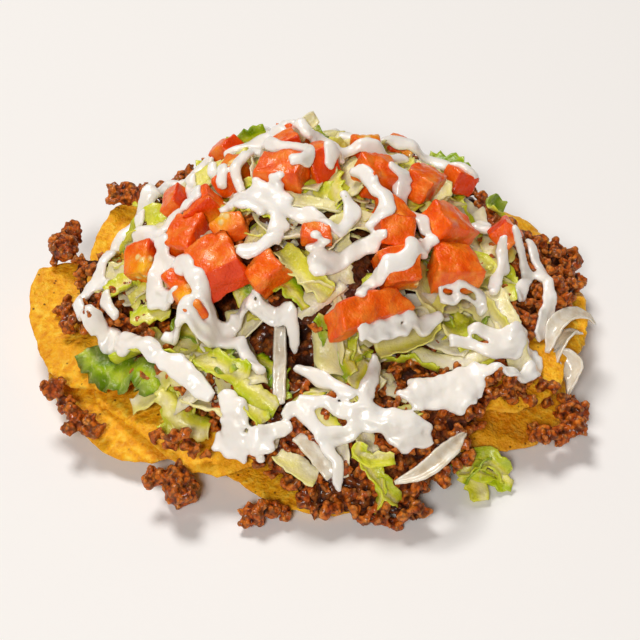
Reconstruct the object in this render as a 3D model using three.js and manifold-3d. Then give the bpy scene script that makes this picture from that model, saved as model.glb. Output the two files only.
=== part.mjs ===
// Loaded nachos: a heap of round corn chips under crumbled beef, shredded lettuce,
// diced tomato and a thick cream drizzle. It lies as it was heaped, with no dish.
// Millimetres, +Z up. The origin is on the floor, at the centre of the heap.
// The layers are laid in order, from the floor up. Each piece comes to rest on the
// relief of those below it, so no two pieces cross.
import * as THREE from "three";
import { mergeVertices } from "three/addons/utils/BufferGeometryUtils.js";
import Module from "manifold-3d";

const wasm = await Module();
wasm.setup();

// Driving dimensions
const heapRadius = 95;
const heapHeight = 71;
const rimHeight = 10;
const bedHeight = 22;        // of the sloping chips in the middle
const edgeHeight = 2;        // of their outer edges over the floor
const gap = 0.35;            // air between pieces that touch
const chipThickness = 1.6;
const chipSpokes = 16;
const saladDepth = 8;        // loose shreds and tomato above the salad's core
const beefDepth = 19;        // salad and topping above the beef in the middle
const lumpDepth = 8;         // of the middles of the crumbs on its rim
const shredThickness = 1.3;
const reliefStep = 1;        // cell of the relief that pieces settle on

const rad = THREE.MathUtils.degToRad;

function seeded(seed) {
  let state = seed;
  return () => {
    state = (state + 0x6d2b79f5) | 0;
    let mix = Math.imul(state ^ (state >>> 15), 1 | state);
    mix = (mix + Math.imul(mix ^ (mix >>> 7), 61 | mix)) ^ mix;
    return ((mix ^ (mix >>> 14)) >>> 0) / 4294967296;
  };
}

function spread(random, low, high) {
  return low + (high - low) * random();
}

// Height of the bed that the sloping chips lie along, like tiles on a round roof.
function bedTop(x, y) {
  const share = Math.min(Math.hypot(x, y) / heapRadius, 1);
  return edgeHeight + (bedHeight - edgeHeight) * (1 - share ** 1.6);
}

// Height of the finished heap over a point of the plan.
function heapTop(x, y) {
  const share = Math.min(Math.hypot(x, y) / heapRadius, 1);
  return rimHeight + (heapHeight - rimHeight) * (1 - share ** 1.75) ** 1.1;
}

// ---- closed meshes -------------------------------------------------------

function cornersOf(geometry, face) {
  const index = geometry.index;
  const position = geometry.attributes.position;
  return [0, 1, 2].map((k) => new THREE.Vector3().fromBufferAttribute(position, index.getX(3 * face + k)));
}

function volumeOf(geometry) {
  let volume = 0;
  for (let face = 0; face < geometry.index.count / 3; face++) {
    const [a, b, c] = cornersOf(geometry, face);
    volume += a.dot(b.cross(c)) / 6;
  }
  return volume;
}

// Positions only, shared corners, no empty triangles, faces turned outwards.
function closed(source) {
  source.deleteAttribute("normal");
  source.deleteAttribute("uv");
  const geometry = mergeVertices(source, 1e-4);
  const kept = [];
  for (let i = 0; i < geometry.index.count; i += 3) {
    const [a, b, c] = [0, 1, 2].map((k) => geometry.index.getX(i + k));
    if (a !== b && b !== c && c !== a) kept.push(a, b, c);
  }
  geometry.setIndex(kept);
  if (volumeOf(geometry) < 0) geometry.setIndex(kept.reverse());
  return geometry;
}

function moveVertices(geometry, place) {
  const position = geometry.attributes.position;
  const point = new THREE.Vector3();
  for (let i = 0; i < position.count; i++) {
    point.fromBufferAttribute(position, i);
    place(point);
    position.setXYZ(i, point.x, point.y, point.z);
  }
  return geometry;
}

// A disc with rings and two faces, of radius 1 and thickness 1, on which chips
// and mounds are formed.
function ringedDisc(ringShares, spokes) {
  const outline = [];
  outline.push(new THREE.Vector2(0, 0));
  for (const share of ringShares) outline.push(new THREE.Vector2(share, 0));
  for (const share of [...ringShares].reverse()) outline.push(new THREE.Vector2(share, 1));
  outline.push(new THREE.Vector2(0, 1));
  const lathe = new THREE.LatheGeometry(outline, spokes);
  lathe.rotateX(Math.PI / 2);
  moveVertices(lathe, (p) => p.set(p.x, p.y, Math.abs(p.z)));
  return closed(lathe);
}

function toManifold(geometry) {
  return new wasm.Manifold(new wasm.Mesh({
    numProp: 3,
    vertProperties: new Float32Array(geometry.attributes.position.array),
    triVerts: new Uint32Array(geometry.index.array),
  }));
}

// The largest body that is left: loose scraps are dropped and sealed hollows filled.
function largestBody(manifold) {
  const bodies = manifold.decompose();
  return bodies.reduce((best, body) => (body.volume() > best.volume() ? body : best));
}

function fromManifold(manifold) {
  const mesh = manifold.getMesh();
  const geometry = new THREE.BufferGeometry();
  const corners = new Float32Array(mesh.numVert * 3);
  for (let i = 0; i < mesh.numVert; i++) {
    for (let k = 0; k < 3; k++) corners[3 * i + k] = mesh.vertProperties[mesh.numProp * i + k];
  }
  geometry.setAttribute("position", new THREE.BufferAttribute(corners, 3));
  geometry.setIndex([...mesh.triVerts]);
  return geometry;
}

function cutBack(manifold, cutters) {
  return cutters.reduce((rest, cutter) => rest.subtract(cutter), manifold);
}

function fuse(geometries) {
  return geometries.map(toManifold).reduce((whole, piece) => whole.add(piece));
}

// ---- relief --------------------------------------------------------------

// The highest surface so far over each cell of the plan.
class Relief {
  constructor() {
    this.half = Math.ceil((heapRadius + 15) / reliefStep);
    this.width = 2 * this.half + 1;
    this.cells = new Float32Array(this.width * this.width);
  }

  cellOf(x, y) {
    const column = Math.round(x / reliefStep) + this.half;
    const row = Math.round(y / reliefStep) + this.half;
    return row * this.width + column;
  }

  // Visits points spread over every face, closer than a cell apart.
  visit(geometry, act) {
    const point = new THREE.Vector3();
    for (let face = 0; face < geometry.index.count / 3; face++) {
      const [a, b, c] = cornersOf(geometry, face);
      const longest = Math.max(a.distanceTo(b), b.distanceTo(c), c.distanceTo(a));
      const steps = Math.ceil(longest / (0.6 * reliefStep));
      for (let i = 0; i <= steps; i++) {
        for (let j = 0; j <= steps - i; j++) {
          point.copy(a).multiplyScalar(1 - (i + j) / steps);
          point.addScaledVector(b, i / steps).addScaledVector(c, j / steps);
          act(point);
        }
      }
    }
  }

  raise(geometry) {
    this.visit(geometry, (p) => {
      const cell = this.cellOf(p.x, p.y);
      this.cells[cell] = Math.max(this.cells[cell], p.z);
    });
  }

  // Highest point within a radius of a place in the plan.
  highest(x, y, radius) {
    const reach = Math.ceil(radius / reliefStep);
    const centre = this.cellOf(x, y);
    let top = 0;
    for (let i = -reach; i <= reach; i++) {
      for (let j = -reach; j <= reach; j++) {
        if (i * i + j * j > (reach + 0.5) ** 2) continue;
        top = Math.max(top, this.cells[centre + i * this.width + j] ?? 0);
      }
    }
    return top;
  }

  // How far a piece must rise, or may sink, to rest a gap above what is below it.
  rise(geometry) {
    let rise = -Infinity;
    this.visit(geometry, (p) => {
      rise = Math.max(rise, this.highest(p.x, p.y, reliefStep) + gap - p.z);
    });
    return rise;
  }

  // Lets a piece down on the relief and adds it to it.
  settle(geometry) {
    geometry.translate(0, 0, this.rise(geometry));
    this.raise(geometry);
    return geometry;
  }

  copy() {
    const twin = new Relief();
    twin.cells.set(this.cells);
    return twin;
  }
}

// Lifts a piece that is fused to others off what lies under them.
function clearOf(ground, piece) {
  const rise = ground.rise(piece);
  if (rise > 0) piece.translate(0, 0, rise);
  return piece;
}

const relief = new Relief();
const middle = new Relief();
const nachos = new THREE.Group();
nachos.name = "nachos";

const finishes = {
  chip: new THREE.MeshStandardMaterial({ color: 0xe3a337, roughness: 0.75, metalness: 0 }),
  beef: new THREE.MeshStandardMaterial({ color: 0x6e3218, roughness: 0.55, metalness: 0 }),
  salad: new THREE.MeshStandardMaterial({ color: 0xe9e6cf, roughness: 0.45, metalness: 0 }),
  tomato: new THREE.MeshStandardMaterial({ color: 0xdd4a20, roughness: 0.3, metalness: 0 }),
  rib: new THREE.MeshStandardMaterial({ color: 0xe8ead2, roughness: 0.4, metalness: 0 }),
};

function addNode(name, geometry, finish) {
  const mesh = new THREE.Mesh(geometry, finishes[finish].clone());
  mesh.name = name;
  nachos.add(mesh);
}

// ---- corn chips ----------------------------------------------------------

// Laid in this order, from the floor up. Azimuth and distance place the centre, and
// bed is the share of the bed's height that the chip follows. Flare curls the outer rim
// up. A corner draws the rim out towards an azimuth, and up, and a side cuts it straight.
const chipPlan = {
  chip_centre: { azimuth: 0, distance: 0, diameter: 70, bed: 0, flare: 0 },
  chip_front_low: { azimuth: -88, distance: 50, diameter: 78, bed: 0.3, flare: 0,
    side: { towards: -124, at: 36 } },
  chip_right_low: { azimuth: -6, distance: 50, diameter: 72, bed: 0.4, flare: 0 },
  chip_back_low: { azimuth: 78, distance: 47, diameter: 76, bed: 0.4, flare: 0 },
  chip_left_low: { azimuth: 168, distance: 47, diameter: 74, bed: 0.4, flare: 0 },
  chip_front_left: { azimuth: -146, distance: 57, diameter: 77, bed: 1, flare: 0.5,
    corner: { towards: 155, reach: 4, rise: 2 } },
  chip_front_right: { azimuth: -35, distance: 56, diameter: 72, bed: 1, flare: 0.5 },
  chip_back_right: { azimuth: 34, distance: 55, diameter: 72, bed: 1, flare: 1,
    corner: { towards: 12, reach: 3, rise: 1 } },
  chip_back_left: { azimuth: 112, distance: 53, diameter: 74, bed: 1, flare: 1 },
  chip_front_upper: { azimuth: -129, distance: 55, diameter: 76, bed: 1, flare: 1,
    side: { towards: -136, at: 29 } },
  chip_right_rim: { azimuth: -4, distance: 60, diameter: 66, bed: 1, flare: 2 },
  chip_right_upper: { azimuth: -28, distance: 58, diameter: 62, bed: 1, flare: 2 },
  chip_back_upper: { azimuth: 72, distance: 50, diameter: 62, bed: 1, flare: 2 },
  chip_left_curled: { azimuth: -167, distance: 63, diameter: 66, bed: 1, flare: 2,
    corner: { towards: 149, reach: 6, rise: 9 } },
  chip_upper_left: { azimuth: 169, distance: 44, diameter: 66, bed: 1, flare: 7,
    corner: { towards: 140, reach: 1, rise: 6 } },
};

const cornerWidth = 24;      // degrees of the rim over which a corner falls away
const chipRings = [0.42, 0.76, 1];
const sideLimit = 0.1;       // cosine under which a spoke no longer meets the straight side

// Extra thickens the chip all round, for a cutter that keeps food off it.
function chipBody(plan, seed, extra) {
  const random = seeded(seed);
  const corner = plan.corner ?? { towards: plan.azimuth, reach: 0, rise: 0 };
  const side = plan.side ?? { towards: plan.azimuth, at: plan.diameter };
  const radius = plan.diameter / 2 + extra;
  const thickness = chipThickness + 2 * extra;
  const turn = spread(random, 0, 2 * Math.PI);
  const ripple = plan.bed > 0.5 ? spread(random, 0.5, 1) : 0;
  const cornerAt = rad(corner.towards - plan.azimuth);
  const disc = ringedDisc(chipRings, chipSpokes).rotateZ(cornerAt);
  moveVertices(disc, (p) => {
    const share = Math.hypot(p.x, p.y);
    const angle = Math.atan2(p.y, p.x);
    const apart = Math.atan2(Math.sin(angle - cornerAt), Math.cos(angle - cornerAt));
    const drawn = Math.exp(-((apart / rad(cornerWidth)) ** 2));
    const round = radius * (1 + 0.035 * Math.cos(3 * angle + turn) + 0.02 * Math.cos(5 * angle - turn));
    const facing = Math.cos(angle - rad(side.towards - plan.azimuth));
    const straight = facing > sideLimit ? (side.at + extra) / facing : Infinity;
    const edge = Math.min(round + corner.reach * drawn, straight);
    const outward = share * Math.cos(angle);
    const across = share * Math.sin(angle);
    const free = Math.max(0, outward);
    const bend = plan.flare * free ** 2 + corner.rise * drawn * share ** 3
      + ripple * free * share ** 2 * Math.cos(5 * angle + 2 * turn);
    const [x, y] = [edge * outward, edge * across];
    const bed = plan.bed * bedTop(plan.distance + x, y);
    p.set(plan.distance + x, y, bed + bend + thickness * p.z - extra);
  });
  return disc.rotateZ(rad(plan.azimuth));
}

// Each chip also gives a cutter, a gap larger all round.
function layChips() {
  return Object.entries(chipPlan).map(([name, plan], i) => {
    const chip = chipBody(plan, i + 1, 0);
    const rise = plan.distance === 0 ? 0 : Math.max(0, relief.rise(chip));
    relief.raise(chip.translate(0, 0, rise));
    if (plan.distance === 0) middle.raise(chip);
    addNode(name, chip, "chip");
    return toManifold(chipBody(plan, i + 1, gap).translate(0, 0, rise));
  });
}

// ---- mounds --------------------------------------------------------------

// How far a layer reaches round the heap: a plain radius with lobes added to it,
// each at an azimuth, so many degrees wide.
function reachOf(radius, lobes) {
  return (angle) => lobes.reduce((reach, lobe) => {
    const apart = Math.atan2(Math.sin(angle - rad(lobe.azimuth)), Math.cos(angle - rad(lobe.azimuth)));
    return reach + lobe.extra * Math.exp(-((apart / rad(lobe.width)) ** 2));
  }, radius);
}

// A mound over a ground, with its top given by a function of the plan.
function moundOn({ groundAt, reach, rings, spokes, topAt }) {
  const shares = [];
  for (let ring = 1; ring <= rings; ring++) shares.push(ring / rings);
  return moveVertices(ringedDisc(shares, spokes), (p) => {
    const angle = Math.atan2(p.y, p.x);
    const distance = Math.hypot(p.x, p.y) * reach(angle);
    const x = distance * Math.cos(angle);
    const y = distance * Math.sin(angle);
    const bottom = groundAt(distance).highest(x, y, (0.7 * reach(angle)) / rings) + gap;
    p.set(x, y, p.z < 0.5 ? bottom : Math.max(topAt(x, y), bottom + 1.5));
  });
}

// ---- beef ----------------------------------------------------------------

// Rounded lump of mince, uneven, about so wide.
function crumble(x, y, z, radius, random) {
  const lump = closed(new THREE.IcosahedronGeometry(radius, 0));
  lump.rotateX(spread(random, 0, 3)).rotateY(spread(random, 0, 3));
  moveVertices(lump, (p) => p.multiplyScalar(spread(random, 0.85, 1.2)));
  lump.scale(1, spread(random, 0.8, 1.1), 0.85);
  lump.translate(x, y, z);
  return lump;
}

const beefReach = reachOf(70, [
  { azimuth: -84, width: 22, extra: 22 },
  { azimuth: -66, width: 11, extra: 13 },
  { azimuth: -36, width: 14, extra: 5 },
  { azimuth: 8, width: 17, extra: 25 },
  { azimuth: 60, width: 20, extra: 8 },
  { azimuth: 100, width: 24, extra: 8 },
  { azimuth: -174, width: 14, extra: 13 },
]);

function layBeef(chipCutters) {
  const random = seeded(23);
  const chips = relief.copy();
  const topAt = (x, y) => {
    const bare = THREE.MathUtils.smoothstep(Math.hypot(x, y), 54, 70);
    return heapTop(x, y) - THREE.MathUtils.lerp(beefDepth, 4, bare) + spread(random, -2.5, 2.5);
  };
  const groundAt = (distance) => (distance < 12 ? middle : chips);
  const core = moundOn({ groundAt, reach: beefReach, rings: 7, spokes: 24, topAt });
  const lumps = [];
  for (let i = 0; i < 32; i++) {
    const angle = 2 * Math.PI * ((i * 0.618034) % 1);
    const share = Math.sqrt(spread(random, 0.72, 1.05));
    const x = share * beefReach(angle) * Math.cos(angle);
    const y = share * beefReach(angle) * Math.sin(angle);
    const radius = spread(random, 3.8, 6);
    const rest = chips.highest(x, y, 1) + 1.05 * radius;
    lumps.push(crumble(x, y, Math.max(rest, heapTop(x, y) - lumpDepth), radius, random));
  }
  const beef = fromManifold(largestBody(cutBack(fuse([core, ...lumps]), chipCutters)));
  relief.raise(beef);
  addNode("beef", beef, "beef");
}

// Clusters that lie apart on the chips' rims or on the floor beside them.
const beefClusters = {
  beef_left: { x: -86, y: 20, length: 22, across: 6, turn: 100, lumps: 5 },
  beef_left_low: { x: -77, y: -54, length: 22, across: 7, turn: -50, lumps: 5 },
  beef_front_left: { x: -47, y: -80, length: 22, across: 9, turn: -30, lumps: 5 },
  beef_front_crumb: { x: -17, y: -89, length: 7, across: 3, turn: 0, lumps: 2 },
  beef_back_left: { x: -63, y: 31, length: 16, across: 5, turn: -30, lumps: 4 },
  beef_right: { x: 77, y: -55, length: 22, across: 9, turn: 55, lumps: 5 },
};

function layBeefClusters() {
  const random = seeded(31);
  for (const [name, plan] of Object.entries(beefClusters)) {
    const lumps = [];
    for (let i = 0; i < plan.lumps; i++) {
      const along = plan.length * ((i + 0.5) / plan.lumps - 0.5);
      const aside = plan.across * spread(random, -0.5, 0.5);
      const c = Math.cos(rad(plan.turn));
      const s = Math.sin(rad(plan.turn));
      lumps.push(crumble(plan.x + along * c - aside * s, plan.y + along * s + aside * c, 0,
        spread(random, 4, 5.5), random));
    }
    const rises = lumps.map((lump) => relief.rise(lump));
    const level = Math.max(...rises);
    lumps.forEach((lump, i) => lump.translate(0, 0, Math.max(rises[i], level - 5)));
    const cluster = fromManifold(largestBody(fuse(lumps)));
    relief.raise(cluster);
    addNode(name, cluster, "beef");
  }
}

// ---- salad core ----------------------------------------------------------

const saladReach = reachOf(66, [
  { azimuth: -95, width: 34, extra: 18 },
  { azimuth: -145, width: 26, extra: 9 },
  { azimuth: -45, width: 20, extra: 5 },
  { azimuth: 60, width: 40, extra: -4 },
]);

function saladCore() {
  const random = seeded(53);
  const topAt = (x, y) => heapTop(x, y) - saladDepth + spread(random, -1, 3);
  return moundOn({ groundAt: () => relief, reach: saladReach, rings: 5, spokes: 20, topAt });
}

// ---- tomato dice ---------------------------------------------------------

// Cut dice of tomato: plan place, length, width and height, turn about the
// vertical. One side is the curved skin.
const tomatoDice = [
  [-10, 16, 10, 9, 9, 20], [-11, -2, 15, 10, 9, -20], [-27, 8, 13, 7, 8, 70], [-46, 8, 12, 7, 8, 80],
  [-36, -5, 11, 9, 9, 10], [-41, -14, 13, 10, 9, 65], [-55, -16, 12, 9, 9, 75], [-31, -30, 16, 15, 11, 15],
  [-27, -20, 11, 6, 7, 10], [-41, -36, 20, 6, 7, -62], [-15, -36, 11, 9, 9, 30], [0, 5, 11, 10, 11, 35],
  [16, 20, 9, 8, 8, 10], [19, 1, 12, 11, 10, 25], [24, -14, 13, 7, 8, -50], [24, -22, 11, 10, 9, 5],
  [34, 6, 14, 10, 9, 60], [41, -9, 15, 13, 11, 30], [0, -28, 9, 6, 6, 0], [25, -33, 13, 11, 10, 20],
  [43, -24, 15, 12, 10, 15], [62, 3, 11, 8, 8, 70], [15, -46, 25, 9, 11, 30], [-8, 34, 10, 8, 8, 40],
  [28, 36, 10, 8, 8, -15], [-30, 34, 10, 8, 8, 60], [48, 24, 10, 8, 8, 20],
];

function tomatoBody([, , length, width, height, turn], extra) {
  const random = seeded(Math.round(length * 13 + width * 7 + turn));
  const block = closed(new THREE.BoxGeometry(2, 2, 2, 2, 2, 1));
  const shear = spread(random, -0.18, 0.18);
  const taper = spread(random, -0.15, 0.15);
  moveVertices(block, (p) => {
    const bulge = p.y > 0.9 ? 0.18 * (1 - p.x * p.x) : 0;
    const crown = 0.08 * (1 - Math.min(1, p.x * p.x + p.y * p.y)) * p.z;
    p.set(p.x * (1 + taper * p.y), p.y + bulge + shear * p.z, p.z + crown);
  });
  block.scale(length / 2 + extra, width / 2 + extra, height / 2 + extra);
  return block;
}

// Slope of the heap under a place, as the turn that lays a piece along it.
function slopeTurn(x, y) {
  const step = 4;
  const normal = new THREE.Vector3(
    (heapTop(x - step, y) - heapTop(x + step, y)) / (2 * step),
    (heapTop(x, y - step) - heapTop(x, y + step)) / (2 * step),
    1,
  ).normalize();
  return new THREE.Quaternion().setFromUnitVectors(new THREE.Vector3(0, 0, 1), normal);
}

// The dice are sunk to their tops in the heap. Where two would cross, the later one
// is cut back, and each gives a cutter that keeps the salad off it.
function layTomatoes(ground) {
  const random = seeded(47);
  const cutters = [];
  const blocks = [];
  tomatoDice.forEach((dice, i) => {
    const [x, y, , , height, turn] = dice;
    const tip = new THREE.Euler(rad(spread(random, -16, 16)), rad(spread(random, -16, 16)), rad(turn));
    const level = heapTop(x, y) + spread(random, 0.5, 3) - height / 2;
    const place = (block) => block.applyQuaternion(new THREE.Quaternion().setFromEuler(tip))
      .applyQuaternion(slopeTurn(x, y)).translate(x, y, level);
    const block = place(tomatoBody(dice, 0));
    const rise = Math.max(0, ground.rise(block));
    const body = cutBack(toManifold(block.translate(0, 0, rise)), cutters);
    cutters.push(toManifold(place(tomatoBody(dice, gap)).translate(0, 0, rise)));
    blocks.push(fromManifold(largestBody(body)));
    addNode(`tomato_${String(i + 1).padStart(2, "0")}`, blocks[i], "tomato");
  });
  return { cutters, blocks };
}

// ---- shreds and drizzle --------------------------------------------------

// Bends a straight bar that lies along X over a route. Roll turns its section
// about the route, as degrees at its two ends.
function bendAlong(bar, length, curve, rollStart, rollEnd, widthAt) {
  const up = new THREE.Vector3(0, 0, 1);
  return moveVertices(bar, (p) => {
    const share = THREE.MathUtils.clamp(p.x / length + 0.5, 0, 1);
    const centre = curve.getPointAt(share);
    const ahead = curve.getTangentAt(share);
    const side = new THREE.Vector3().crossVectors(up, ahead).normalize();
    const lift = new THREE.Vector3().crossVectors(ahead, side);
    const roll = rad(THREE.MathUtils.lerp(rollStart, rollEnd, share));
    const across = p.y * widthAt(share);
    const aside = across * Math.cos(roll) - p.z * Math.sin(roll);
    const above = across * Math.sin(roll) + p.z * Math.cos(roll);
    p.copy(centre).addScaledVector(side, aside).addScaledVector(lift, above);
  });
}

// A route laid over a surface, hovering over it, and clear of the ground below it.
function routeOver(surface, ground, plan, width, hover, clear) {
  const flat = new THREE.CatmullRomCurve3(plan.map(([x, y]) => new THREE.Vector3(x, y, 0)));
  const points = flat.getSpacedPoints(Math.max(2, Math.ceil(flat.getLength() / 5)));
  const floors = points.map((p) => ground.highest(p.x, p.y, width / 2 + 1) + gap + clear);
  const levels = points.map((p, i) => Math.max(surface.highest(p.x, p.y, 1.5) + hover, floors[i]));
  points.forEach((p, i) => {
    const before = levels[Math.max(i - 1, 0)];
    const after = levels[Math.min(i + 1, levels.length - 1)];
    p.z = Math.max((before + 2 * levels[i] + after) / 4, floors[i]);
  });
  return new THREE.CatmullRomCurve3(points);
}

// A flat shred of lettuce or rib along a route of the plan.
function shred(curve, width, rollStart, rollEnd) {
  const length = curve.getLength();
  const bar = closed(new THREE.BoxGeometry(length, 1, shredThickness, Math.ceil(length / 12), 1, 1));
  return bendAlong(bar, length, curve, rollStart, rollEnd,
    (share) => width * (0.55 + 0.45 * Math.sin(Math.PI * share) ** 0.5));
}

// A strand of cream is lower than it is wide, and a pool lower still.
function strandDepth(width) {
  return Math.min(0.62 * width, 5.5);
}

// A rounded strand of cream along a route of the plan.
function strand(curve, width) {
  const length = curve.getLength();
  const bar = new THREE.CylinderGeometry(0.5, 0.5, length, 5, Math.max(2, Math.round(length / 15)));
  bar.rotateZ(Math.PI / 2).rotateX(Math.PI / 2);
  bar.scale(1, 1, strandDepth(width));
  return bendAlong(closed(bar), length, curve, 0, 0,
    (share) => width * (0.55 + 0.45 * Math.sin(Math.PI * share) ** 0.4));
}

// Strands of the drizzle: width, then the places of the plan that they run over.
const drizzle = [
  [6, [-35, 20], [-48, 18], [-57, 12], [-64, 3], [-70, -6], [-77, -13]],
  [7, [-59, -6], [-52, -9], [-50, -23], [-48, -34], [-44, -37]],
  [6, [-24, -8], [-26, 4], [-20, 12], [-12, 11], [-3, 5], [-8, 0]],
  [6, [-30, 20], [-20, 19], [-13, 27], [-3, 22], [4, 9], [5, 2]],
  [17, [-27, -11], [-18, -13], [-9, -16]],
  [8, [-17, -16], [-12, -23], [-13, -32]],
  [6, [-24, -30], [-14, -29], [-9, -20], [3, -25], [8, -15]],
  [6, [29, 15], [20, 12], [12, 10], [7, 3], [4, -5]],
  [6, [11, -4], [17, -9], [21, -17], [16, -25]],
  [6, [23, 4], [27, -4], [26, -12], [34, -19]],
  [7, [37, -20], [28, -31], [16, -41], [12, -46]],
  [7, [21, -26], [9, -35], [0, -37]],
  [6, [74, 12], [76, -3], [75, -15], [69, -33]],
  [6, [46, -46], [55, -42], [67, -36]],
  [6, [41, -50], [55, -47], [69, -40], [60, -51], [50, -55]],
  [15, [21, -68], [33, -62], [49, -57]],
  [6, [2, -76], [16, -80], [35, -77]],
  [6, [-10, -76], [-2, -80], [6, -88]],
  [8, [-72, -26], [-64, -38], [-55, -45], [-44, -56], [-32, -68]],
  [6, [-79, -13], [-76, -22], [-70, -32]],
  [7, [-50, -22], [-42, -26], [-36, -37], [-30, -47], [-24, -52]],
  [8, [-47, -46], [-37, -46], [-28, -54], [-16, -64]],
  [8, [-30, -67], [-26, -76], [-22, -84]],
  [6, [-22, -77], [-14, -80], [-6, -76]],
  [6, [-8, -63], [5, -68], [15, -73], [28, -72]],
  [7, [-48, 30], [-36, 44], [-20, 48], [-6, 40]],
  [7, [-12, 62], [4, 52], [20, 58], [34, 46]],
  [7, [8, 34], [24, 30], [38, 34], [54, 28]],
];

// Shreds that stand out: width, roll at the two ends, then the route.
const shreds = [
  [10, 10, 40, [-73, -38], [-66, -47], [-54, -53], [-45, -62]],
  [9, -30, 30, [-46, -62], [-40, -70], [-32, -74]],
  [8, 0, 40, [-37, -56], [-20, -65]],
  [8, 30, -30, [-20, -38], [-10, -44], [-3, -51]],
  [8, 0, 30, [-11, -35], [4, -48]],
  [7, 0, 50, [0, -52], [10, -66]],
  [7, 20, 50, [-23, -66], [-12, -74]],
  [7, -20, 30, [-6, -80], [5, -89]],
  [9, 0, 30, [14, -57], [26, -50], [39, -44]],
  [8, 20, 50, [36, -30], [48, -38], [60, -43]],
  [9, 10, -20, [40, 22], [47, 29]],
  [8, 0, 30, [58, 26], [64, 28]],
  [9, 20, 0, [-26, 30], [-14, 27]],
  [8, 50, 10, [-68, -14], [-60, -22], [-52, -31]],
  [8, 30, 60, [0, -5], [6, -21]],
];

function layShreds(surface, ground) {
  const random = seeded(59);
  const strips = shreds.map(([width, rollStart, rollEnd, ...plan]) =>
    shred(routeOver(surface, ground, plan, width, 1.5, 1), width, rollStart, rollEnd));
  for (let i = 0; i < 10; i++) {
    const angle = 2 * Math.PI * ((i * 0.618034) % 1);
    const distance = spread(random, 0.2, 0.95) * saladReach(angle);
    const [x, y] = [distance * Math.cos(angle), distance * Math.sin(angle)];
    const course = spread(random, 0, Math.PI);
    const half = spread(random, 10, 16);
    const plan = [-1, 0, 1].map((end) => [x + end * half * Math.cos(course), y + end * half * Math.sin(course)]);
    const width = spread(random, 6, 10);
    const route = routeOver(surface, ground, plan, width, spread(random, 1, 4), 1);
    strips.push(shred(route, width, spread(random, -35, 35), spread(random, -35, 35)));
  }
  return strips;
}

function layDrizzle(surface, ground) {
  return drizzle.map(([width, ...plan]) =>
    strand(routeOver(surface, ground, plan, width, 0.1 * width, 0.5 * strandDepth(width)), width));
}

function laySalad(chipCutters) {
  const ground = relief.copy();
  const core = clearOf(ground, saladCore());
  relief.raise(core);
  const { cutters: diceCutters, blocks } = layTomatoes(ground);
  const strips = layShreds(relief, ground).map((piece) => clearOf(ground, piece));
  [...strips, ...blocks].forEach((piece) => relief.raise(piece));
  const strands = layDrizzle(relief, ground).map((piece) => clearOf(ground, piece));
  const whole = fuse([core, ...strips, ...strands]);
  const body = fromManifold(largestBody(cutBack(whole, [...diceCutters, ...chipCutters])));
  relief.raise(body);
  addNode("salad", body, "salad");
}

// ---- loose shreds --------------------------------------------------------

// Shreds that lie apart on the front and the right: width, then the route, with how
// much each place is higher than the lowest one.
const looseShreds = {
  rib_slice_front: [5, [20, -92, 0], [30, -89, 2], [39, -82, 2], [45, -73, 0]],
  rib_slice_right: [8, [93, -18, 0], [85, -21, 4], [79, -27, 6], [75, -35, 4], [76, -44, 0]],
  lettuce_sprig_front: [6, [12, -84, 14], [16, -88, 9], [19, -92, 4], [23, -95, 0]],
  lettuce_sprig_right: [9, [49, -80, 0], [53, -76, 3], [58, -73, 3], [63, -73, 0]],
};

function layLooseShreds() {
  for (const [name, [width, ...route]] of Object.entries(looseShreds)) {
    const curve = new THREE.CatmullRomCurve3(route.map((place) => new THREE.Vector3(...place)));
    addNode(name, relief.settle(shred(curve, width, 0, 12)), "rib");
  }
}

// Puts the origin under the middle of the heap's box, on the floor.
function centreOverOrigin() {
  const box = new THREE.Box3().setFromObject(nachos);
  const middle = box.getCenter(new THREE.Vector3());
  nachos.children.forEach((mesh) => mesh.geometry.translate(-middle.x, -middle.y, -box.min.z));
}

const chipCutters = layChips();
layBeef(chipCutters);
layBeefClusters();
laySalad(chipCutters);
layLooseShreds();
centreOverOrigin();

export default nachos;
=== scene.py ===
# Loaded nachos: corn chips, beef, lettuce, tomato and cream heaped round the CAD solids.
import math

import bpy
import numpy as np
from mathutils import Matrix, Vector, noise


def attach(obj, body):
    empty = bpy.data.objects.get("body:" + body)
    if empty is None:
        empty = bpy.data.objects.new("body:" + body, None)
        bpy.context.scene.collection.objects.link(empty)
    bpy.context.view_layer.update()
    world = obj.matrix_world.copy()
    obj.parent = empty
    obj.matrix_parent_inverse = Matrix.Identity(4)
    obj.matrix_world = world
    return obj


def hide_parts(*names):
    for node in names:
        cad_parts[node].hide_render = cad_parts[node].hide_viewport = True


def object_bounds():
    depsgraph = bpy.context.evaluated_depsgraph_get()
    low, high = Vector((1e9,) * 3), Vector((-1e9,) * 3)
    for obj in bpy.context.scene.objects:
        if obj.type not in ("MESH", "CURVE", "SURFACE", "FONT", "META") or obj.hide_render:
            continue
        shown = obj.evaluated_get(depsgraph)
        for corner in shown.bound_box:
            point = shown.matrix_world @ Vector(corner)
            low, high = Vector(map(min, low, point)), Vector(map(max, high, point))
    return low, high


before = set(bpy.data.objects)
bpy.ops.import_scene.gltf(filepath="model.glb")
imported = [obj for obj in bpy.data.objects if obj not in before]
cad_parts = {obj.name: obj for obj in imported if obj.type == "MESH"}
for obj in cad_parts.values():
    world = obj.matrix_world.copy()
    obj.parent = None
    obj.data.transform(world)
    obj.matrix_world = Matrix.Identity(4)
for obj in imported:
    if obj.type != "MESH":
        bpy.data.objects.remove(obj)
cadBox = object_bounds()
noise.seed_set(3)                                 # or noise_vector differs from run to run

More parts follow.
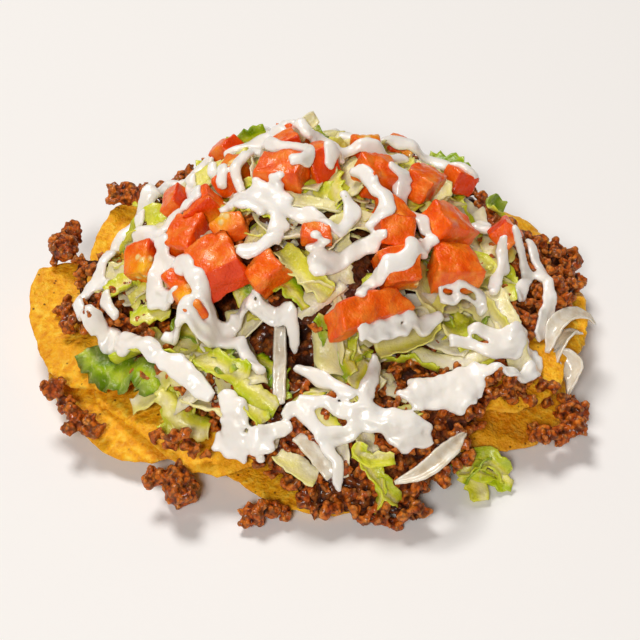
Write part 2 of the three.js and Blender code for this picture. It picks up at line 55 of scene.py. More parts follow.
mm = 0.001
heap = {
    "radius": 95, "height": 71, "rim": 10,        # mm, as the solids are heaped
    "bulge": (1.75, 1.1),
    "shift": (1.15, 4.91),                        # mm, from the heap's own plan to the frame
    "clear": (0.02, 0.05),                        # mm, kept inside the CAD box, below and above
}
view = {
    "lens": 92.6, "elevation": 40, "distance": 0.562,
    "target": (1, 0, 5),                          # mm, place on the heap's plan, and its height
    "slide": (-10, 40, 0.4),                      # mm along a line of sight: from, to, step
}


def activate(piece):
    for other in bpy.context.selected_objects:
        other.select_set(False)
    piece.select_set(True)
    bpy.context.view_layer.objects.active = piece


def applyModifiers(piece):
    activate(piece)
    for modifier in list(piece.modifiers):
        bpy.ops.object.modifier_apply(modifier=modifier.name)


def editMesh(piece, operation, **options):
    # a mesh operation on the whole piece in edit mode
    activate(piece)
    bpy.ops.object.mode_set(mode="EDIT")
    bpy.ops.mesh.select_all(action="SELECT")
    operation(**options)
    bpy.ops.object.mode_set(mode="OBJECT")


def placed(x, y):
    return (x + heap["shift"][0]) * mm, (y + heap["shift"][1]) * mm


def heapTop(x, y):
    # height of a full dome over a place of the frame, in metres
    plan = math.hypot(x / mm - heap["shift"][0], y / mm - heap["shift"][1])
    share = min(plan / heap["radius"], 1)
    steep, full = heap["bulge"]
    return (heap["rim"] + (heap["height"] - heap["rim"]) * (1 - share ** steep) ** full) * mm


def viewTarget():
    x, y = placed(*view["target"][:2])
    return Vector((x, y, view["target"][2] * mm))


def viewPlace():
    elevation = math.radians(view["elevation"])
    return viewTarget() + Vector((0, -math.cos(elevation), math.sin(elevation))) * view["distance"]


def meshPiece(name, corners, faces):
    mesh = bpy.data.meshes.new(name)
    mesh.vertices.add(len(corners))
    mesh.vertices.foreach_set("co", np.ascontiguousarray(corners, np.float32).ravel())
    mesh.loops.add(faces.size)
    mesh.loops.foreach_set("vertex_index", np.ascontiguousarray(faces, np.int32).ravel())
    mesh.polygons.add(len(faces))
    mesh.polygons.foreach_set("loop_start", np.arange(0, faces.size, faces.shape[1], dtype=np.int32))
    mesh.update(calc_edges=True)
    mesh.validate()
    piece = bpy.data.objects.new(name, mesh)
    bpy.context.collection.objects.link(piece)
    return piece


def lengths(rows):
    return np.linalg.norm(rows, axis=1)


def cornersOf(mesh):
    corners = np.empty(len(mesh.vertices) * 3, np.float32)
    mesh.vertices.foreach_get("co", corners)
    return corners.reshape(-1, 3).astype(float)


def normalsOf(mesh):
    normals = np.empty(len(mesh.vertices) * 3, np.float32)
    mesh.vertices.foreach_get("normal", normals)
    return normals.reshape(-1, 3).astype(float)


def setCorners(mesh, corners):
    mesh.vertices.foreach_set("co", np.ascontiguousarray(corners, np.float32).ravel())
    mesh.update()


def facesOf(mesh):
    mesh.calc_loop_triangles()
    faces = np.empty(len(mesh.loop_triangles) * 3, np.int32)
    mesh.loop_triangles.foreach_get("vertices", faces)
    return faces.reshape(-1, 3)


def edgesOf(mesh):
    edges = np.empty(len(mesh.edges) * 2, np.int32)
    mesh.edges.foreach_get("vertices", edges)
    return edges.reshape(-1, 2).T


def setMask(mesh, name, values):
    layer = mesh.attributes.new(name, "FLOAT", "POINT")
    layer.data.foreach_set("value", np.ascontiguousarray(values, np.float32))


def joinedPiece(name, parts):
    # parts are (corners, faces, masks); the masks are dictionaries of one value a corner
    starts = np.cumsum([0] + [len(part[0]) for part in parts])
    piece = meshPiece(name, np.concatenate([part[0] for part in parts]),
                      np.concatenate([part[1] + start for part, start in zip(parts, starts)]))
    for key in parts[0][2]:
        setMask(piece.data, key, np.concatenate([part[2][key] for part in parts]))
    return piece


def ballOf(subdivisions):
    # corners and faces of a ball of radius 1
    bpy.ops.mesh.primitive_ico_sphere_add(subdivisions=subdivisions, radius=1)
    ball = bpy.context.object
    corners, faces = cornersOf(ball.data), facesOf(ball.data)
    bpy.data.objects.remove(ball)
    return corners, faces


def addRemesh(piece, voxel):
    # voxel is in millimetres
    fuse = piece.modifiers.new("fuse", "REMESH")
    fuse.mode = "VOXEL"
    fuse.voxel_size = voxel * mm


def addSmooth(piece, rounds):
    ease = piece.modifiers.new("ease", "SMOOTH")
    ease.factor = 0.5
    ease.iterations = rounds


def noiseAt(corners, size, octaves, seed=0):
    # a noise of that grain at every corner, about -1 to 1
    shift = Vector((seed, 0, 0))
    return np.array([noise.fractal(Vector(c) / size + shift, 1.0, 2.0, octaves) for c in corners])


def roughen(mesh, size, depth, octaves, seed):
    # pushes every corner in or out along its normal by a noise; size and depth in millimetres
    corners = cornersOf(mesh)
    push = noiseAt(corners, size * mm, octaves, seed) * (depth * mm)
    setCorners(mesh, corners + normalsOf(mesh) * push[:, None])


def cavityOf(mesh, size, rounds):
    # 0 on the ridges, 0.5 where it is flat and 1 in the pits, for bumps of so many millimetres
    a, b = edgesOf(mesh)
    count = len(mesh.vertices)
    around = np.maximum(np.bincount(a, minlength=count) + np.bincount(b, minlength=count), 1)

    def averaged(values):
        return (np.bincount(a, values[b], count) + np.bincount(b, values[a], count)) / around

    corners, eased = cornersOf(mesh), cornersOf(mesh)
    for _ in range(rounds):
        eased = np.stack([averaged(eased[:, k]) for k in range(3)], 1)
    depth = ((eased - corners) * normalsOf(mesh)).sum(1)
    return np.clip(0.5 + averaged(depth) / (size * mm), 0, 1)


def copyOfNode(node, name):
    # a copy of a solid with its corners merged; the solid stays as it is
    piece = bpy.data.objects.new(name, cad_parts[node].data.copy())
    bpy.context.collection.objects.link(piece)
    editMesh(piece, bpy.ops.mesh.remove_doubles, threshold=0.005 * mm)
    piece.data.materials.clear()
    return piece


def keepLargest(piece):
    # drops the small islands that a remesh leaves
    mesh = piece.data
    a, b = edgesOf(mesh)
    labels, before = np.arange(len(mesh.vertices)), None
    while before is None or (labels != before).any():
        before = labels.copy()
        np.minimum.at(labels, a, before[b])
        np.minimum.at(labels, b, before[a])
        labels = labels[labels]
    activate(piece)
    mesh.vertices.foreach_set("select", labels != np.bincount(labels).argmax())
    bpy.ops.object.mode_set(mode="EDIT")
    bpy.ops.mesh.delete(type="VERT")
    bpy.ops.object.mode_set(mode="OBJECT")


def finishPiece(piece, material, slotName, *nodes):
    # held inside the CAD box, shaded and handed to the frame
    low = np.array(cadBox[0]) + heap["clear"][0] * mm
    high = np.array(cadBox[1]) - heap["clear"][1] * mm
    setCorners(piece.data, np.clip(cornersOf(piece.data), low, high))
    piece.data.materials.clear()
    piece.data.materials.append(material)
    piece.data.polygons.foreach_set("use_smooth", np.ones(len(piece.data.polygons), bool))
    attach(piece, "root")
    if nodes:
        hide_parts(*nodes)
    return piece


# relief: how high the pieces laid so far reach, on a grid of square cells; half is in cells
relief = {"step": 1 * mm, "half": 104, "sample": 0.7 * mm}


def reliefOver(pieces):
    # grid of the highest points of the pieces over each cell of the plan
    half, step = relief["half"], relief["step"]
    grid = np.zeros((2 * half + 1, 2 * half + 1))
    for piece in pieces:
        corners, faces = cornersOf(piece.data), facesOf(piece.data)
        a, b, c = (corners[faces[:, k]] for k in range(3))
        longest = np.max([lengths(a - b), lengths(b - c), lengths(c - a)], axis=0)
        counts = np.maximum(np.ceil(longest / relief["sample"]).astype(int), 1)
        for n in np.unique(counts):
            chosen = counts == n
            for i in range(n + 1):
                for j in range(n + 1 - i):
                    point = (a[chosen] * (n - i - j) + b[chosen] * i + c[chosen] * j) / n
                    column = np.clip(np.rint(point[:, 0] / step).astype(int) + half, 0, 2 * half)
                    row = np.clip(np.rint(point[:, 1] / step).astype(int) + half, 0, 2 * half)
                    np.maximum.at(grid, (row, column), point[:, 2])
    return grid


def blurred(grid, width):
    # width is the spread of the blur in cells
    reach = int(3 * width) + 1
    weights = np.exp(-0.5 * (np.arange(-reach, reach + 1) / width) ** 2)
    weights /= weights.sum()
    padded = np.pad(grid, reach, mode="edge")
    rows = sum(w * padded[i:i + grid.shape[0], :] for i, w in enumerate(weights))
    return sum(w * rows[:, i:i + grid.shape[1]] for i, w in enumerate(weights))


def widened(grid, reach):
    # highest value within so many cells
    padded = np.pad(grid, reach, mode="edge")
    best = grid.copy()
    for i in range(2 * reach + 1):
        for j in range(2 * reach + 1):
            if (i - reach) ** 2 + (j - reach) ** 2 <= (reach + 0.5) ** 2:
                best = np.maximum(best, padded[i:i + grid.shape[0], j:j + grid.shape[1]])
    return best


def heightAt(grid, x, y):
    half, step = relief["half"], relief["step"]
    column = np.clip(np.asarray(x) / step + half, 0, 2 * half - 0.001)
    row = np.clip(np.asarray(y) / step + half, 0, 2 * half - 0.001)
    c, r = column.astype(int), row.astype(int)
    fc, fr = column - c, row - r
    low = grid[r, c] * (1 - fc) + grid[r, c + 1] * fc
    high = grid[r + 1, c] * (1 - fc) + grid[r + 1, c + 1] * fc
    return low * (1 - fr) + high * fr


def closedUp(grid, reach):
    # bridges what is narrower than twice the reach, in cells
    return -widened(-widened(grid, reach), reach)


def slid(places, grid):
    # the places are given over the full dome: each slides along its line of sight to the heap
    eye = np.array(viewPlace())
    steps = np.arange(*view["slide"]) * mm
    result = []
    for x, y in places:
        px, py = placed(x, y)
        start = np.array([px, py, heapTop(px, py)])
        away = (start - eye) / np.linalg.norm(start - eye)
        line = start + away * steps[:, None]
        under = line[:, 2] <= heightAt(grid, line[:, 0], line[:, 1])
        reached = under.any() and not under[0]
        result.append(line[under.argmax(), :2] if reached else start[:2])
    return np.array(result)


def linear(code):
    # colour of a paint code such as "e8a52c", with an opaque alpha
    parts = [int(code[i:i + 2], 16) / 255 for i in (0, 2, 4)]
    return [p / 12.92 if p <= 0.04045 else ((p + 0.055) / 1.055) ** 2.4 for p in parts] + [1]


class Finish:
    # a material with its Principled BSDF, and short ways to add and link nodes
    def __init__(self, name, roughness, specular=0.5):
        self.material = bpy.data.materials.new(name)
        self.material.use_nodes = True
        self.nodes = self.material.node_tree.nodes
        self.links = self.material.node_tree.links
        self.shader = self.nodes["Principled BSDF"]
        self.shader.inputs["Roughness"].default_value = roughness
        self.shader.inputs["Specular IOR Level"].default_value = specular
        self.place = self.nodes.new("ShaderNodeTexCoord").outputs["Object"]

    def add(self, kind, **values):
        node = self.nodes.new(kind)
        for key, value in values.items():
            if key in node.inputs:
                node.inputs[key].default_value = value
            else:
                setattr(node, key, value)
        return node

    def link(self, source, target):
        # the source is a socket, a paint code or a plain value
        if isinstance(source, bpy.types.NodeSocket):
            self.links.new(source, target)
        else:
            target.default_value = linear(source) if isinstance(source, str) else source

    def noise(self, size, detail, stretch=None):
        texture, place = self.add("ShaderNodeTexNoise", Scale=1 / size, Detail=detail), self.place
        if stretch:
            mapping = self.add("ShaderNodeMapping", Scale=stretch)
            self.link(place, mapping.inputs["Vector"])
            place = mapping.outputs["Vector"]
        self.link(place, texture.inputs["Vector"])
        return texture.outputs["Fac"]

    def cells(self, size):
        texture = self.add("ShaderNodeTexVoronoi", Scale=1 / size)
        self.link(self.place, texture.inputs["Vector"])
        return texture

    def ramp(self, source, stops):
        # stops are (position, paint code or grey value)
        node = self.add("ShaderNodeValToRGB")
        elements = node.color_ramp.elements
        while len(elements) < len(stops):
            elements.new(0.5)
        for element, (position, colour) in zip(elements, stops):
            element.position = position
            element.color = linear(colour) if isinstance(colour, str) else [colour] * 3 + [1]
        self.link(source, node.inputs["Fac"])
        return node.outputs["Color"]

    def mask(self, name):
        return self.add("ShaderNodeAttribute", attribute_name=name).outputs["Fac"]

    def mix(self, factor, first, second, blend="MIX"):
        node = self.add("ShaderNodeMix", data_type="RGBA", blend_type=blend)
        for value, socket in ((factor, 0), (first, 6), (second, 7)):
            self.link(value, node.inputs[socket])
        return node.outputs[2]

    def math(self, operation, first, second):
        node = self.add("ShaderNodeMath", operation=operation)
        self.link(first, node.inputs[0])
        self.link(second, node.inputs[1])
        return node.outputs[0]

    def bump(self, height, distance, strength=1.0):
        node = self.add("ShaderNodeBump", Strength=strength, Distance=distance)
        self.link(height, node.inputs["Height"])
        self.link(node.outputs["Normal"], self.shader.inputs["Normal"])

    def paint(self, colour):
        self.link(colour, self.shader.inputs["Base Color"])

    def soften(self, weight, radius, scale):
        self.shader.inputs["Subsurface Weight"].default_value = weight
        self.shader.inputs["Subsurface Radius"].default_value = radius
        self.shader.inputs["Subsurface Scale"].default_value = scale

    def wet(self, coat, roughness):
        self.shader.inputs["Coat Weight"].default_value = coat
        self.shader.inputs["Coat Roughness"].default_value = roughness


# corn chips; lengths in millimetres
chip = {
    "blisters": 60, "blisterWidth": (1.8, 6.5), "blisterHeight": (0.25, 1.0), "blisterTone": 0.8,
    "grainSize": 2.2, "grainDepth": 0.38, "edgeWander": 1.4, "edgeSizes": (6, 2), "floor": 0.02,
    # how much browner a chip is coloured than the others, and the others: chip_left_low is baked browner, the
    # right front chips are baked browner and darkened as painted shade, and the others are lighter, as
    # painted light
    "browner": {"chip_front_right": 0.12, "chip_right_low": 0.16, "chip_left_low": 0.08},
    "plain": -0.05,
}


def chipFinish():
    finish = Finish("cornChip", roughness=0.5, specular=0.25)
    bubbles = finish.noise(2.6 * mm, 4)
    tone = finish.ramp(bubbles, [(0.34, "e29008"), (0.46, "f4a810"), (0.56, "fbba1c"), (0.68, "ffd044")])
    # browning from a broad noise and from each chip's own offset, which is baking for some chips, painted
    # shade on the right front chips and painted light on the others
    baked = finish.math("ADD", finish.noise(20 * mm, 4), finish.mask("bakedAndPaintedLight"))
    tone = finish.mix(finish.ramp(baked, [(0.48, 0.0), (0.74, 0.6)]), tone, "c46404")
    grain = finish.noise(0.9 * mm, 5)
    tone = finish.mix(finish.ramp(grain, [(0.50, 0.0), (0.75, 0.4)]), tone, "ffd25a")
    blister = finish.ramp(finish.mask("blister"), [(0.0, 0.0), (1.0, 0.45)])
    tone = finish.mix(blister, tone, "ffb820")
    # painted highlight: the outer edge of every chip is painted a lighter yellow, as where the light catches
    # it
    rim = finish.ramp(finish.mask("rim"), [(0.0, 0.0), (0.95, 0.0), (1.0, 0.6)])
    tone = finish.mix(rim, tone, "ffc94a")
    # dark flecks, in some of the cells only
    spots = finish.cells(2.8 * mm)
    separate = finish.add("ShaderNodeSeparateColor")
    finish.link(spots.outputs["Color"], separate.inputs[0])
    chosen = finish.ramp(separate.outputs[0], [(0.62, 0.0), (0.66, 1.0)])
    near = finish.ramp(spots.outputs["Distance"], [(0.08, 0.9), (0.20, 0.0)])
    finish.paint(finish.mix(finish.mix(1.0, chosen, near, "MULTIPLY"), tone, "5c2602"))
    finish.bump(finish.math("ADD", finish.math("MULTIPLY", grain, 0.5), bubbles), 1.1 * mm)
    dry = finish.ramp(finish.noise(6 * mm, 3), [(0.35, 0.38), (0.7, 0.66)])
    finish.link(dry, finish.shader.inputs["Roughness"])
    return finish.material


def makeChip(node, material, random):
    piece = copyOfNode(node, node + "_baked")
    editMesh(piece, bpy.ops.mesh.tris_convert_to_quads, face_threshold=0.7, shape_threshold=0.7)
    firm = piece.modifiers.new("firm", "SUBSURF")
    firm.subdivision_type = "SIMPLE"
    firm.levels = firm.render_levels = 1
    smooth = piece.modifiers.new("round", "SUBSURF")
    smooth.levels = smooth.render_levels = 2
    applyModifiers(piece)
    corners = cornersOf(piece.data)
    middle = 0.5 * (corners.min(0) + corners.max(0))
    flat = corners[:, :2] - middle[:2]
    radius = np.hypot(flat[:, 0], flat[:, 1]).max()
    lift = np.zeros(len(corners))
    for _ in range(chip["blisters"]):
        angle, share = random.uniform(0, 2 * math.pi), math.sqrt(random.uniform(0.02, 0.95))
        centre = np.array([math.cos(angle), math.sin(angle)]) * share * radius
        width = random.uniform(*chip["blisterWidth"]) * mm
        height = random.uniform(*chip["blisterHeight"]) * mm
        apart = np.hypot(*(flat - centre).T) / width
        lift += height * np.clip(1 - apart ** 2, 0, 1) ** 2
    if node == "chip_centre":                     # lies flat on the floor
        lift[:] = 0
    grain = noiseAt(corners, chip["grainSize"] * mm, 3)
    broad, fine = chip["edgeSizes"]
    wander = np.array([noise.noise_vector(Vector(c) / (broad * mm))
                       + 0.5 * noise.noise_vector(Vector(c) / (fine * mm)) for c in corners])
    share = np.hypot(flat[:, 0], flat[:, 1]) / radius
    corners[:, 2] += lift
    corners += normalsOf(piece.data) * (grain * chip["grainDepth"] * mm)[:, None]
    corners[:, :2] += wander[:, :2] * (chip["edgeWander"] * mm * share ** 5)[:, None]
    corners[:, 2] = np.maximum(corners[:, 2], chip["floor"] * mm)
    setCorners(piece.data, corners)
    setMask(piece.data, "rim", share)
    # each chip's own tone offset: baked browner, painted shade on the right front chips, painted light on the
    # plain ones
    setMask(piece.data, "bakedAndPaintedLight", np.full(len(corners), chip["browner"].get(node, chip["plain"])))
    setMask(piece.data, "blister", np.clip(lift / (chip["blisterTone"] * mm), 0, 1))
    return finishPiece(piece, material, "corn_chip", node)


# beef; lengths in millimetres
beef = {
    "walks": 16, "grains": (30, 48), "grainRadius": (0.6, 1.05), "reach": 2.6, "stride": 1.35,
    "voxel": 0.46, "smoothing": 2, "grainSize": 1.3, "grainDepth": 0.2, "seed": 5, "pits": (0.9, 4),
    "floor": (0.1, 0.05),                         # a clump's lowest grain, and the finished piece
    "core": {"voxel": 0.95, "shrink": 1.8, "grain": 2.4, "depth": 0.9},
    "bed": {"voxel": 1.1, "shrink": 0.3, "grain": 2.4, "depth": 0.9},
    "corePits": (0.6, 2), "coreFloor": 0.2, "coreDraw": 0.8, "coreDrop": 6,
    # clumps: how far apart, how many tries, how far out or in, how big
    "onMound": {"spacing": 3.7, "tries": 9000, "out": (-1.2, 0.8), "size": (0.75, 1.2), "from": 50},
    "inSalad": {"spacing": 5.6, "tries": 5000, "in": (0.5, 2.5), "size": (0.7, 1.0), "share": 0.8},
    "cluster": {"spacing": 3.2, "tries": 900, "in": 1.9, "size": (0.65, 0.95), "heartIn": 1.5},
    "lift": 1.2, "onChipsSize": (0.75, 1.1), "underSize": (0.75, 1.0),
    # clumps that lie on the chips' rims, by their places over the full dome
    "onChips": [(51.5, -57), (55.5, -54.1), (59.1, -53.3), (62.4, -53.1), (53.7, -58.7), (57.9, -57.8),
                (61.2, -56.8), (66.5, -50.2), (70.6, -48.9), (74.3, -48.1), (78.5, -47.5), (81.8, -48),
                (76.3, -53.9), (71.3, -53.5), (66.3, -54.5), (-47.4, -72), (-44.3, -74.5), (-40.5, -76.6),
                (-36.5, -78.2), (-43.7, -72.6), (-39.6, -74.8), (-33.4, -80.4), (-83.9, -14.1),
                (-79.6, -20.9), (-74.7, -27.8), (-81.2, -12.4), (-72.1, -25.5), (-76.3, -18.2),
                (-43.6, -80.2), (-40.6, -80.8)],
    # clumps under and behind the two loose clusters at the front, by their places in the frame
    "under": [(-46, -72, 9), (-42, -72, 9), (-38, -72.5, 8), (-35.5, -73.5, 5), (-43, -76, 4), (-39, -77, 3),
              (-41, -80, 3), (-37, -75, 3), (-9.5, -83, 3), (-7, -85.5, 3)],
    "sectors": 6,
    # the rim stays bare of beef between two azimuths, beyond a radius
    "bare": [(146, 178, 58), (18, 44, 71), (-8, 4, 86)],
}
clusterNodes = [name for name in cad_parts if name.startswith("beef_")]


def beefFinish(name, depthShade):
    # painted shade: the second argument darkens the whole finish of the pieces that lie deep in the heap
    # towards a dark brown, as the shade there
    finish = Finish(name, roughness=0.55, specular=0.22)
    tone = finish.ramp(finish.noise(3.2 * mm, 4),
                       [(0.30, "983402"), (0.45, "bc5206"), (0.60, "da700e"), (0.78, "f0a040")])
    apart = finish.cells(1.5 * mm).outputs["Distance"]
    # painted shade: the borders between the grains are darkened towards a deep brown, as the shade in the
    # crevices between them
    tone = finish.mix(finish.ramp(apart, [(0.40, 0.0), (0.70, 0.75)]), tone, "3e1600")
    cavity = finish.mask("cavity")
    # painted shade: the pits of the mince are painted almost black
    tone = finish.mix(finish.ramp(cavity, [(0.47, 0.0), (0.72, 0.95)]), tone, "240700")
    # painted highlight: the ridges of the mince are painted a light tan
    tone = finish.mix(finish.ramp(cavity, [(0.15, 0.45), (0.42, 0.0)]), tone, "e8a252")
    # painted shade: the whole finish is darkened by the given amount
    finish.paint(finish.mix(depthShade, tone, "341002"))
    finish.bump(finish.math("SUBTRACT", finish.noise(0.6 * mm, 3), apart), 0.6 * mm)
    finish.wet(0.3, 0.15)
    return finish.material


def grainWalks(random):
    # clumps of mince, each a wandering row of grains: their places and sizes in metres
    walks = []
    for _ in range(beef["walks"]):
        place, walk = np.zeros(3), []
        for _ in range(random.integers(*beef["grains"])):
            size = random.uniform(*beef["grainRadius"]) * mm
            walk.append((place.copy(), size * random.uniform(0.75, 1.25, 3)))
            step = random.normal(0, 1, 3)
            place = place + step / np.linalg.norm(step) * size * beef["stride"]
            place *= min(1, beef["reach"] * mm / max(np.linalg.norm(place), 1e-9))
        walks.append(walk)
    return walks


def turned(random):
    # a random turn in space
    q = random.normal(size=4)
    w, x, y, z = q / np.linalg.norm(q)
    return np.array([[1 - 2 * (y * y + z * z), 2 * (x * y - z * w), 2 * (x * z + y * w)],
                     [2 * (x * y + z * w), 1 - 2 * (x * x + z * z), 2 * (y * z - x * w)],
                     [2 * (x * z - y * w), 2 * (y * z + x * w), 1 - 2 * (x * x + y * y)]])


def scatterOn(mesh, settings, random):
    # places spread over the faces that look up or out, at least the spacing apart
    spacing, tries = settings["spacing"] * mm, settings["tries"]
    corners, faces = cornersOf(mesh), facesOf(mesh)
    a, b, c = (corners[faces[:, k]] for k in range(3))
    across = np.cross(b - a, c - a)
    area = lengths(across) / 2
    normal = across / np.maximum(2 * area, 1e-12)[:, None]
    weight = area * (normal[:, 2] > -0.15)
    chosen = random.choice(len(faces), size=tries, p=weight / weight.sum())
    u, v = random.uniform(size=(2, tries))
    over = u + v > 1
    u[over], v[over] = 1 - u[over], 1 - v[over]
    places = a[chosen] + (b - a)[chosen] * u[:, None] + (c - a)[chosen] * v[:, None]
    kept, cells = [], {}
    for place, face in zip(places, chosen):
        x, y, z = (place // spacing).astype(int)
        near = [cells.get((x + i, y + j, z + k), []) for i in (-1, 0, 1)
                for j in (-1, 0, 1) for k in (-1, 0, 1)]
        if all(np.linalg.norm(place - other) > spacing for group in near for other in group):
            cells.setdefault((x, y, z), []).append(place)
            kept.append((place, normal[face]))
    return kept


def inBare(x, y):
    # how deep a place lies in the bare part of the rim, 0 outside it, in millimetres
    x, y = x / mm - heap["shift"][0], y / mm - heap["shift"][1]
    azimuth, deep = math.degrees(math.atan2(y, x)), 0
    for low, high, start in beef["bare"]:
        if 0 < (azimuth - low) % 360 < high - low:
            deep = max(deep, math.hypot(x, y) - start)
    return deep


def coreOf(piece, settings):
    # remeshed evenly, grained like packed mince and drawn in where the rim stays bare
    addRemesh(piece, settings["voxel"])
    applyModifiers(piece)
    keepLargest(piece)
    corners, normals = cornersOf(piece.data), normalsOf(piece.data)
    grains = np.array([noise.voronoi(Vector(c) / (settings["grain"] * mm))[0][0] for c in corners])
    swell = (0.5 - grains) * 2 * settings["depth"] - settings["shrink"]
    corners += normals * (swell * mm)[:, None]
    deep = np.array([inBare(x, y) for x, y, _ in corners])
    inward = beef["coreDraw"] * deep * mm / np.hypot(*corners[:, :2].T)
    corners[:, :2] -= corners[:, :2] * inward[:, None]
    corners[:, 2] -= np.minimum(deep, beef["coreDrop"]) * mm
    corners[:, 2] = np.maximum(corners[:, 2], beef["coreFloor"] * mm)
    setCorners(piece.data, corners)
    # the cavity mask, which the finish turns into painted shade in the pits and a painted highlight on the
    # ridges
    setMask(piece.data, "cavity", cavityOf(piece.data, *beef["corePits"]))
    return piece


def minceOver(name, places, walks, material, random, bodies=()):
    # a clump of grains at every place, fused to one crumbly surface; places are (centre, size)
    ballCorners, ballFaces = ballOf(1)
    clumpFloor, floor = beef["floor"]
    parts = list(bodies)
    for centre, size in places:
        turn = turned(random)
        for offset, radii in walks[random.integers(len(walks))]:
            body = (ballCorners * radii + offset) @ turn.T * size + centre
            body[:, 2] += max(0, clumpFloor * mm - body[:, 2].min())
            parts.append((body, ballFaces, {}))
    piece = joinedPiece(name, parts)
    addRemesh(piece, beef["voxel"])
    addSmooth(piece, beef["smoothing"])
    applyModifiers(piece)
    roughen(piece.data, beef["grainSize"], beef["grainDepth"], 2, beef["seed"])
    corners = cornersOf(piece.data)
    corners[:, 2] = np.maximum(corners[:, 2], floor * mm)
    setCorners(piece.data, corners)
    # the cavity mask, which the finish turns into painted shade in the pits and a painted highlight on the
    # ridges
    setMask(piece.data, "cavity", cavityOf(piece.data, *beef["pits"]))
    print(name, len(places), "clumps,", 2 * len(piece.data.polygons), "triangles")
    return finishPiece(piece, material, "beef")


def makeBeef(bed, chipGrid):
    random = np.random.default_rng(5)
    walks = grainWalks(random)
    core = coreOf(copyOfNode("beef", "beef_core"), beef["core"])
    # the core lies under the crumbs and is darkened by 0.6 with painted shade
    finishPiece(core, beefFinish("beefCore", 0.6), "beef", "beef")
    material = beefFinish("beefCrumb", 0.0)
    # clumps over the mound where the salad leaves it bare, and among the salad's shreds
    places, mound, among, cluster = [], beef["onMound"], beef["inSalad"], beef["cluster"]
    for place, normal in scatterOn(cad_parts["beef"].data, mound, random):
        if math.hypot(place[0], place[1]) / mm > mound["from"] and inBare(place[0], place[1]) == 0:
            place = place + normal * random.uniform(*mound["out"]) * mm
            places.append((place, random.uniform(*mound["size"])))
    for place, normal in scatterOn(bed.data, among, random):
        if normal[2] > 0.2 and random.uniform() < among["share"]:
            place = place - normal * random.uniform(*among["in"]) * mm
            places.append((place, random.uniform(*among["size"])))
    for x, y in slid(beef["onChips"], chipGrid):
        z = heightAt(chipGrid, x, y) + beef["lift"] * mm
        places.append((np.array([x, y, z]), random.uniform(*beef["onChipsSize"])))
    for place in beef["under"]:
        places.append((np.array(place) * mm, random.uniform(*beef["underSize"])))
    pieces = []
    for sector in range(beef["sectors"]):
        low = -math.pi + 2 * math.pi * sector / beef["sectors"]
        high = low + 2 * math.pi / beef["sectors"]
        chosen = [item for item in places if low <= math.atan2(item[0][1], item[0][0]) < high]
        pieces.append(minceOver(f"beef_crumbs_{sector + 1}", chosen, walks, material, random))
    # the clusters that lie apart: clumps round a heart of each node's own shape
    places, hearts = [], []
    for node in clusterNodes:
        heart = copyOfNode(node, node + "_heart")
        corners = cornersOf(heart.data) - cluster["heartIn"] * mm * normalsOf(heart.data)
        hearts.append((corners, facesOf(heart.data), {}))
        bpy.data.objects.remove(heart)
        for place, normal in scatterOn(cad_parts[node].data, cluster, random):
            places.append((place - normal * cluster["in"] * mm, random.uniform(*cluster["size"])))
    loose = minceOver("beef_crumbs_loose", places, walks, material, random, hearts)
    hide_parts(*clusterNodes)
    return [core] + pieces + [loose]


# tomato; lengths in millimetres
tomato = {
    "voxel": 0.6, "smoothing": 10, "swell": 5, "swellDepth": 1.0, "grain": 1.8, "grainDepth": 0.2,
    "juicy": 0.75, "gelReach": (3, 6.5), "seeds": 5, "seedWidth": 1.1, "seedHeight": 0.4,
}
tomatoNodes = sorted(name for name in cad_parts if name.startswith("tomato"))


def tomatoFinish():
    finish = Finish("tomatoFlesh", roughness=0.3, specular=0.35)
    flesh = finish.ramp(finish.noise(5 * mm, 4), [(0.26, "e64400"), (0.50, "f56407"), (0.78, "ff9a38")])
    fibres = finish.ramp(finish.noise(1.9 * mm, 3, (1, 0.5, 1.4)), [(0.56, 0.0), (0.76, 0.4)])
    flesh = finish.mix(fibres, flesh, "ff9a40")
    skin = finish.ramp(finish.noise(9 * mm, 2), [(0.3, "de3400"), (0.7, "f55006")])
    tone = finish.mix(finish.ramp(finish.mask("skin"), [(0.55, 0.0), (0.8, 1.0)]), flesh, skin)
    gel = finish.ramp(finish.noise(5 * mm, 2), [(0.40, "f68c06"), (0.65, "fcb81c")])
    tone = finish.mix(finish.mask("gel"), tone, gel)
    finish.paint(finish.mix(finish.mask("seed"), tone, "f0cf86"))
    finish.bump(finish.noise(0.8 * mm, 3), 0.4 * mm)
    finish.soften(0.15, (1.0, 0.45, 0.2), 1.4 * mm)
    finish.wet(0.25, 0.06)
    return finish.material


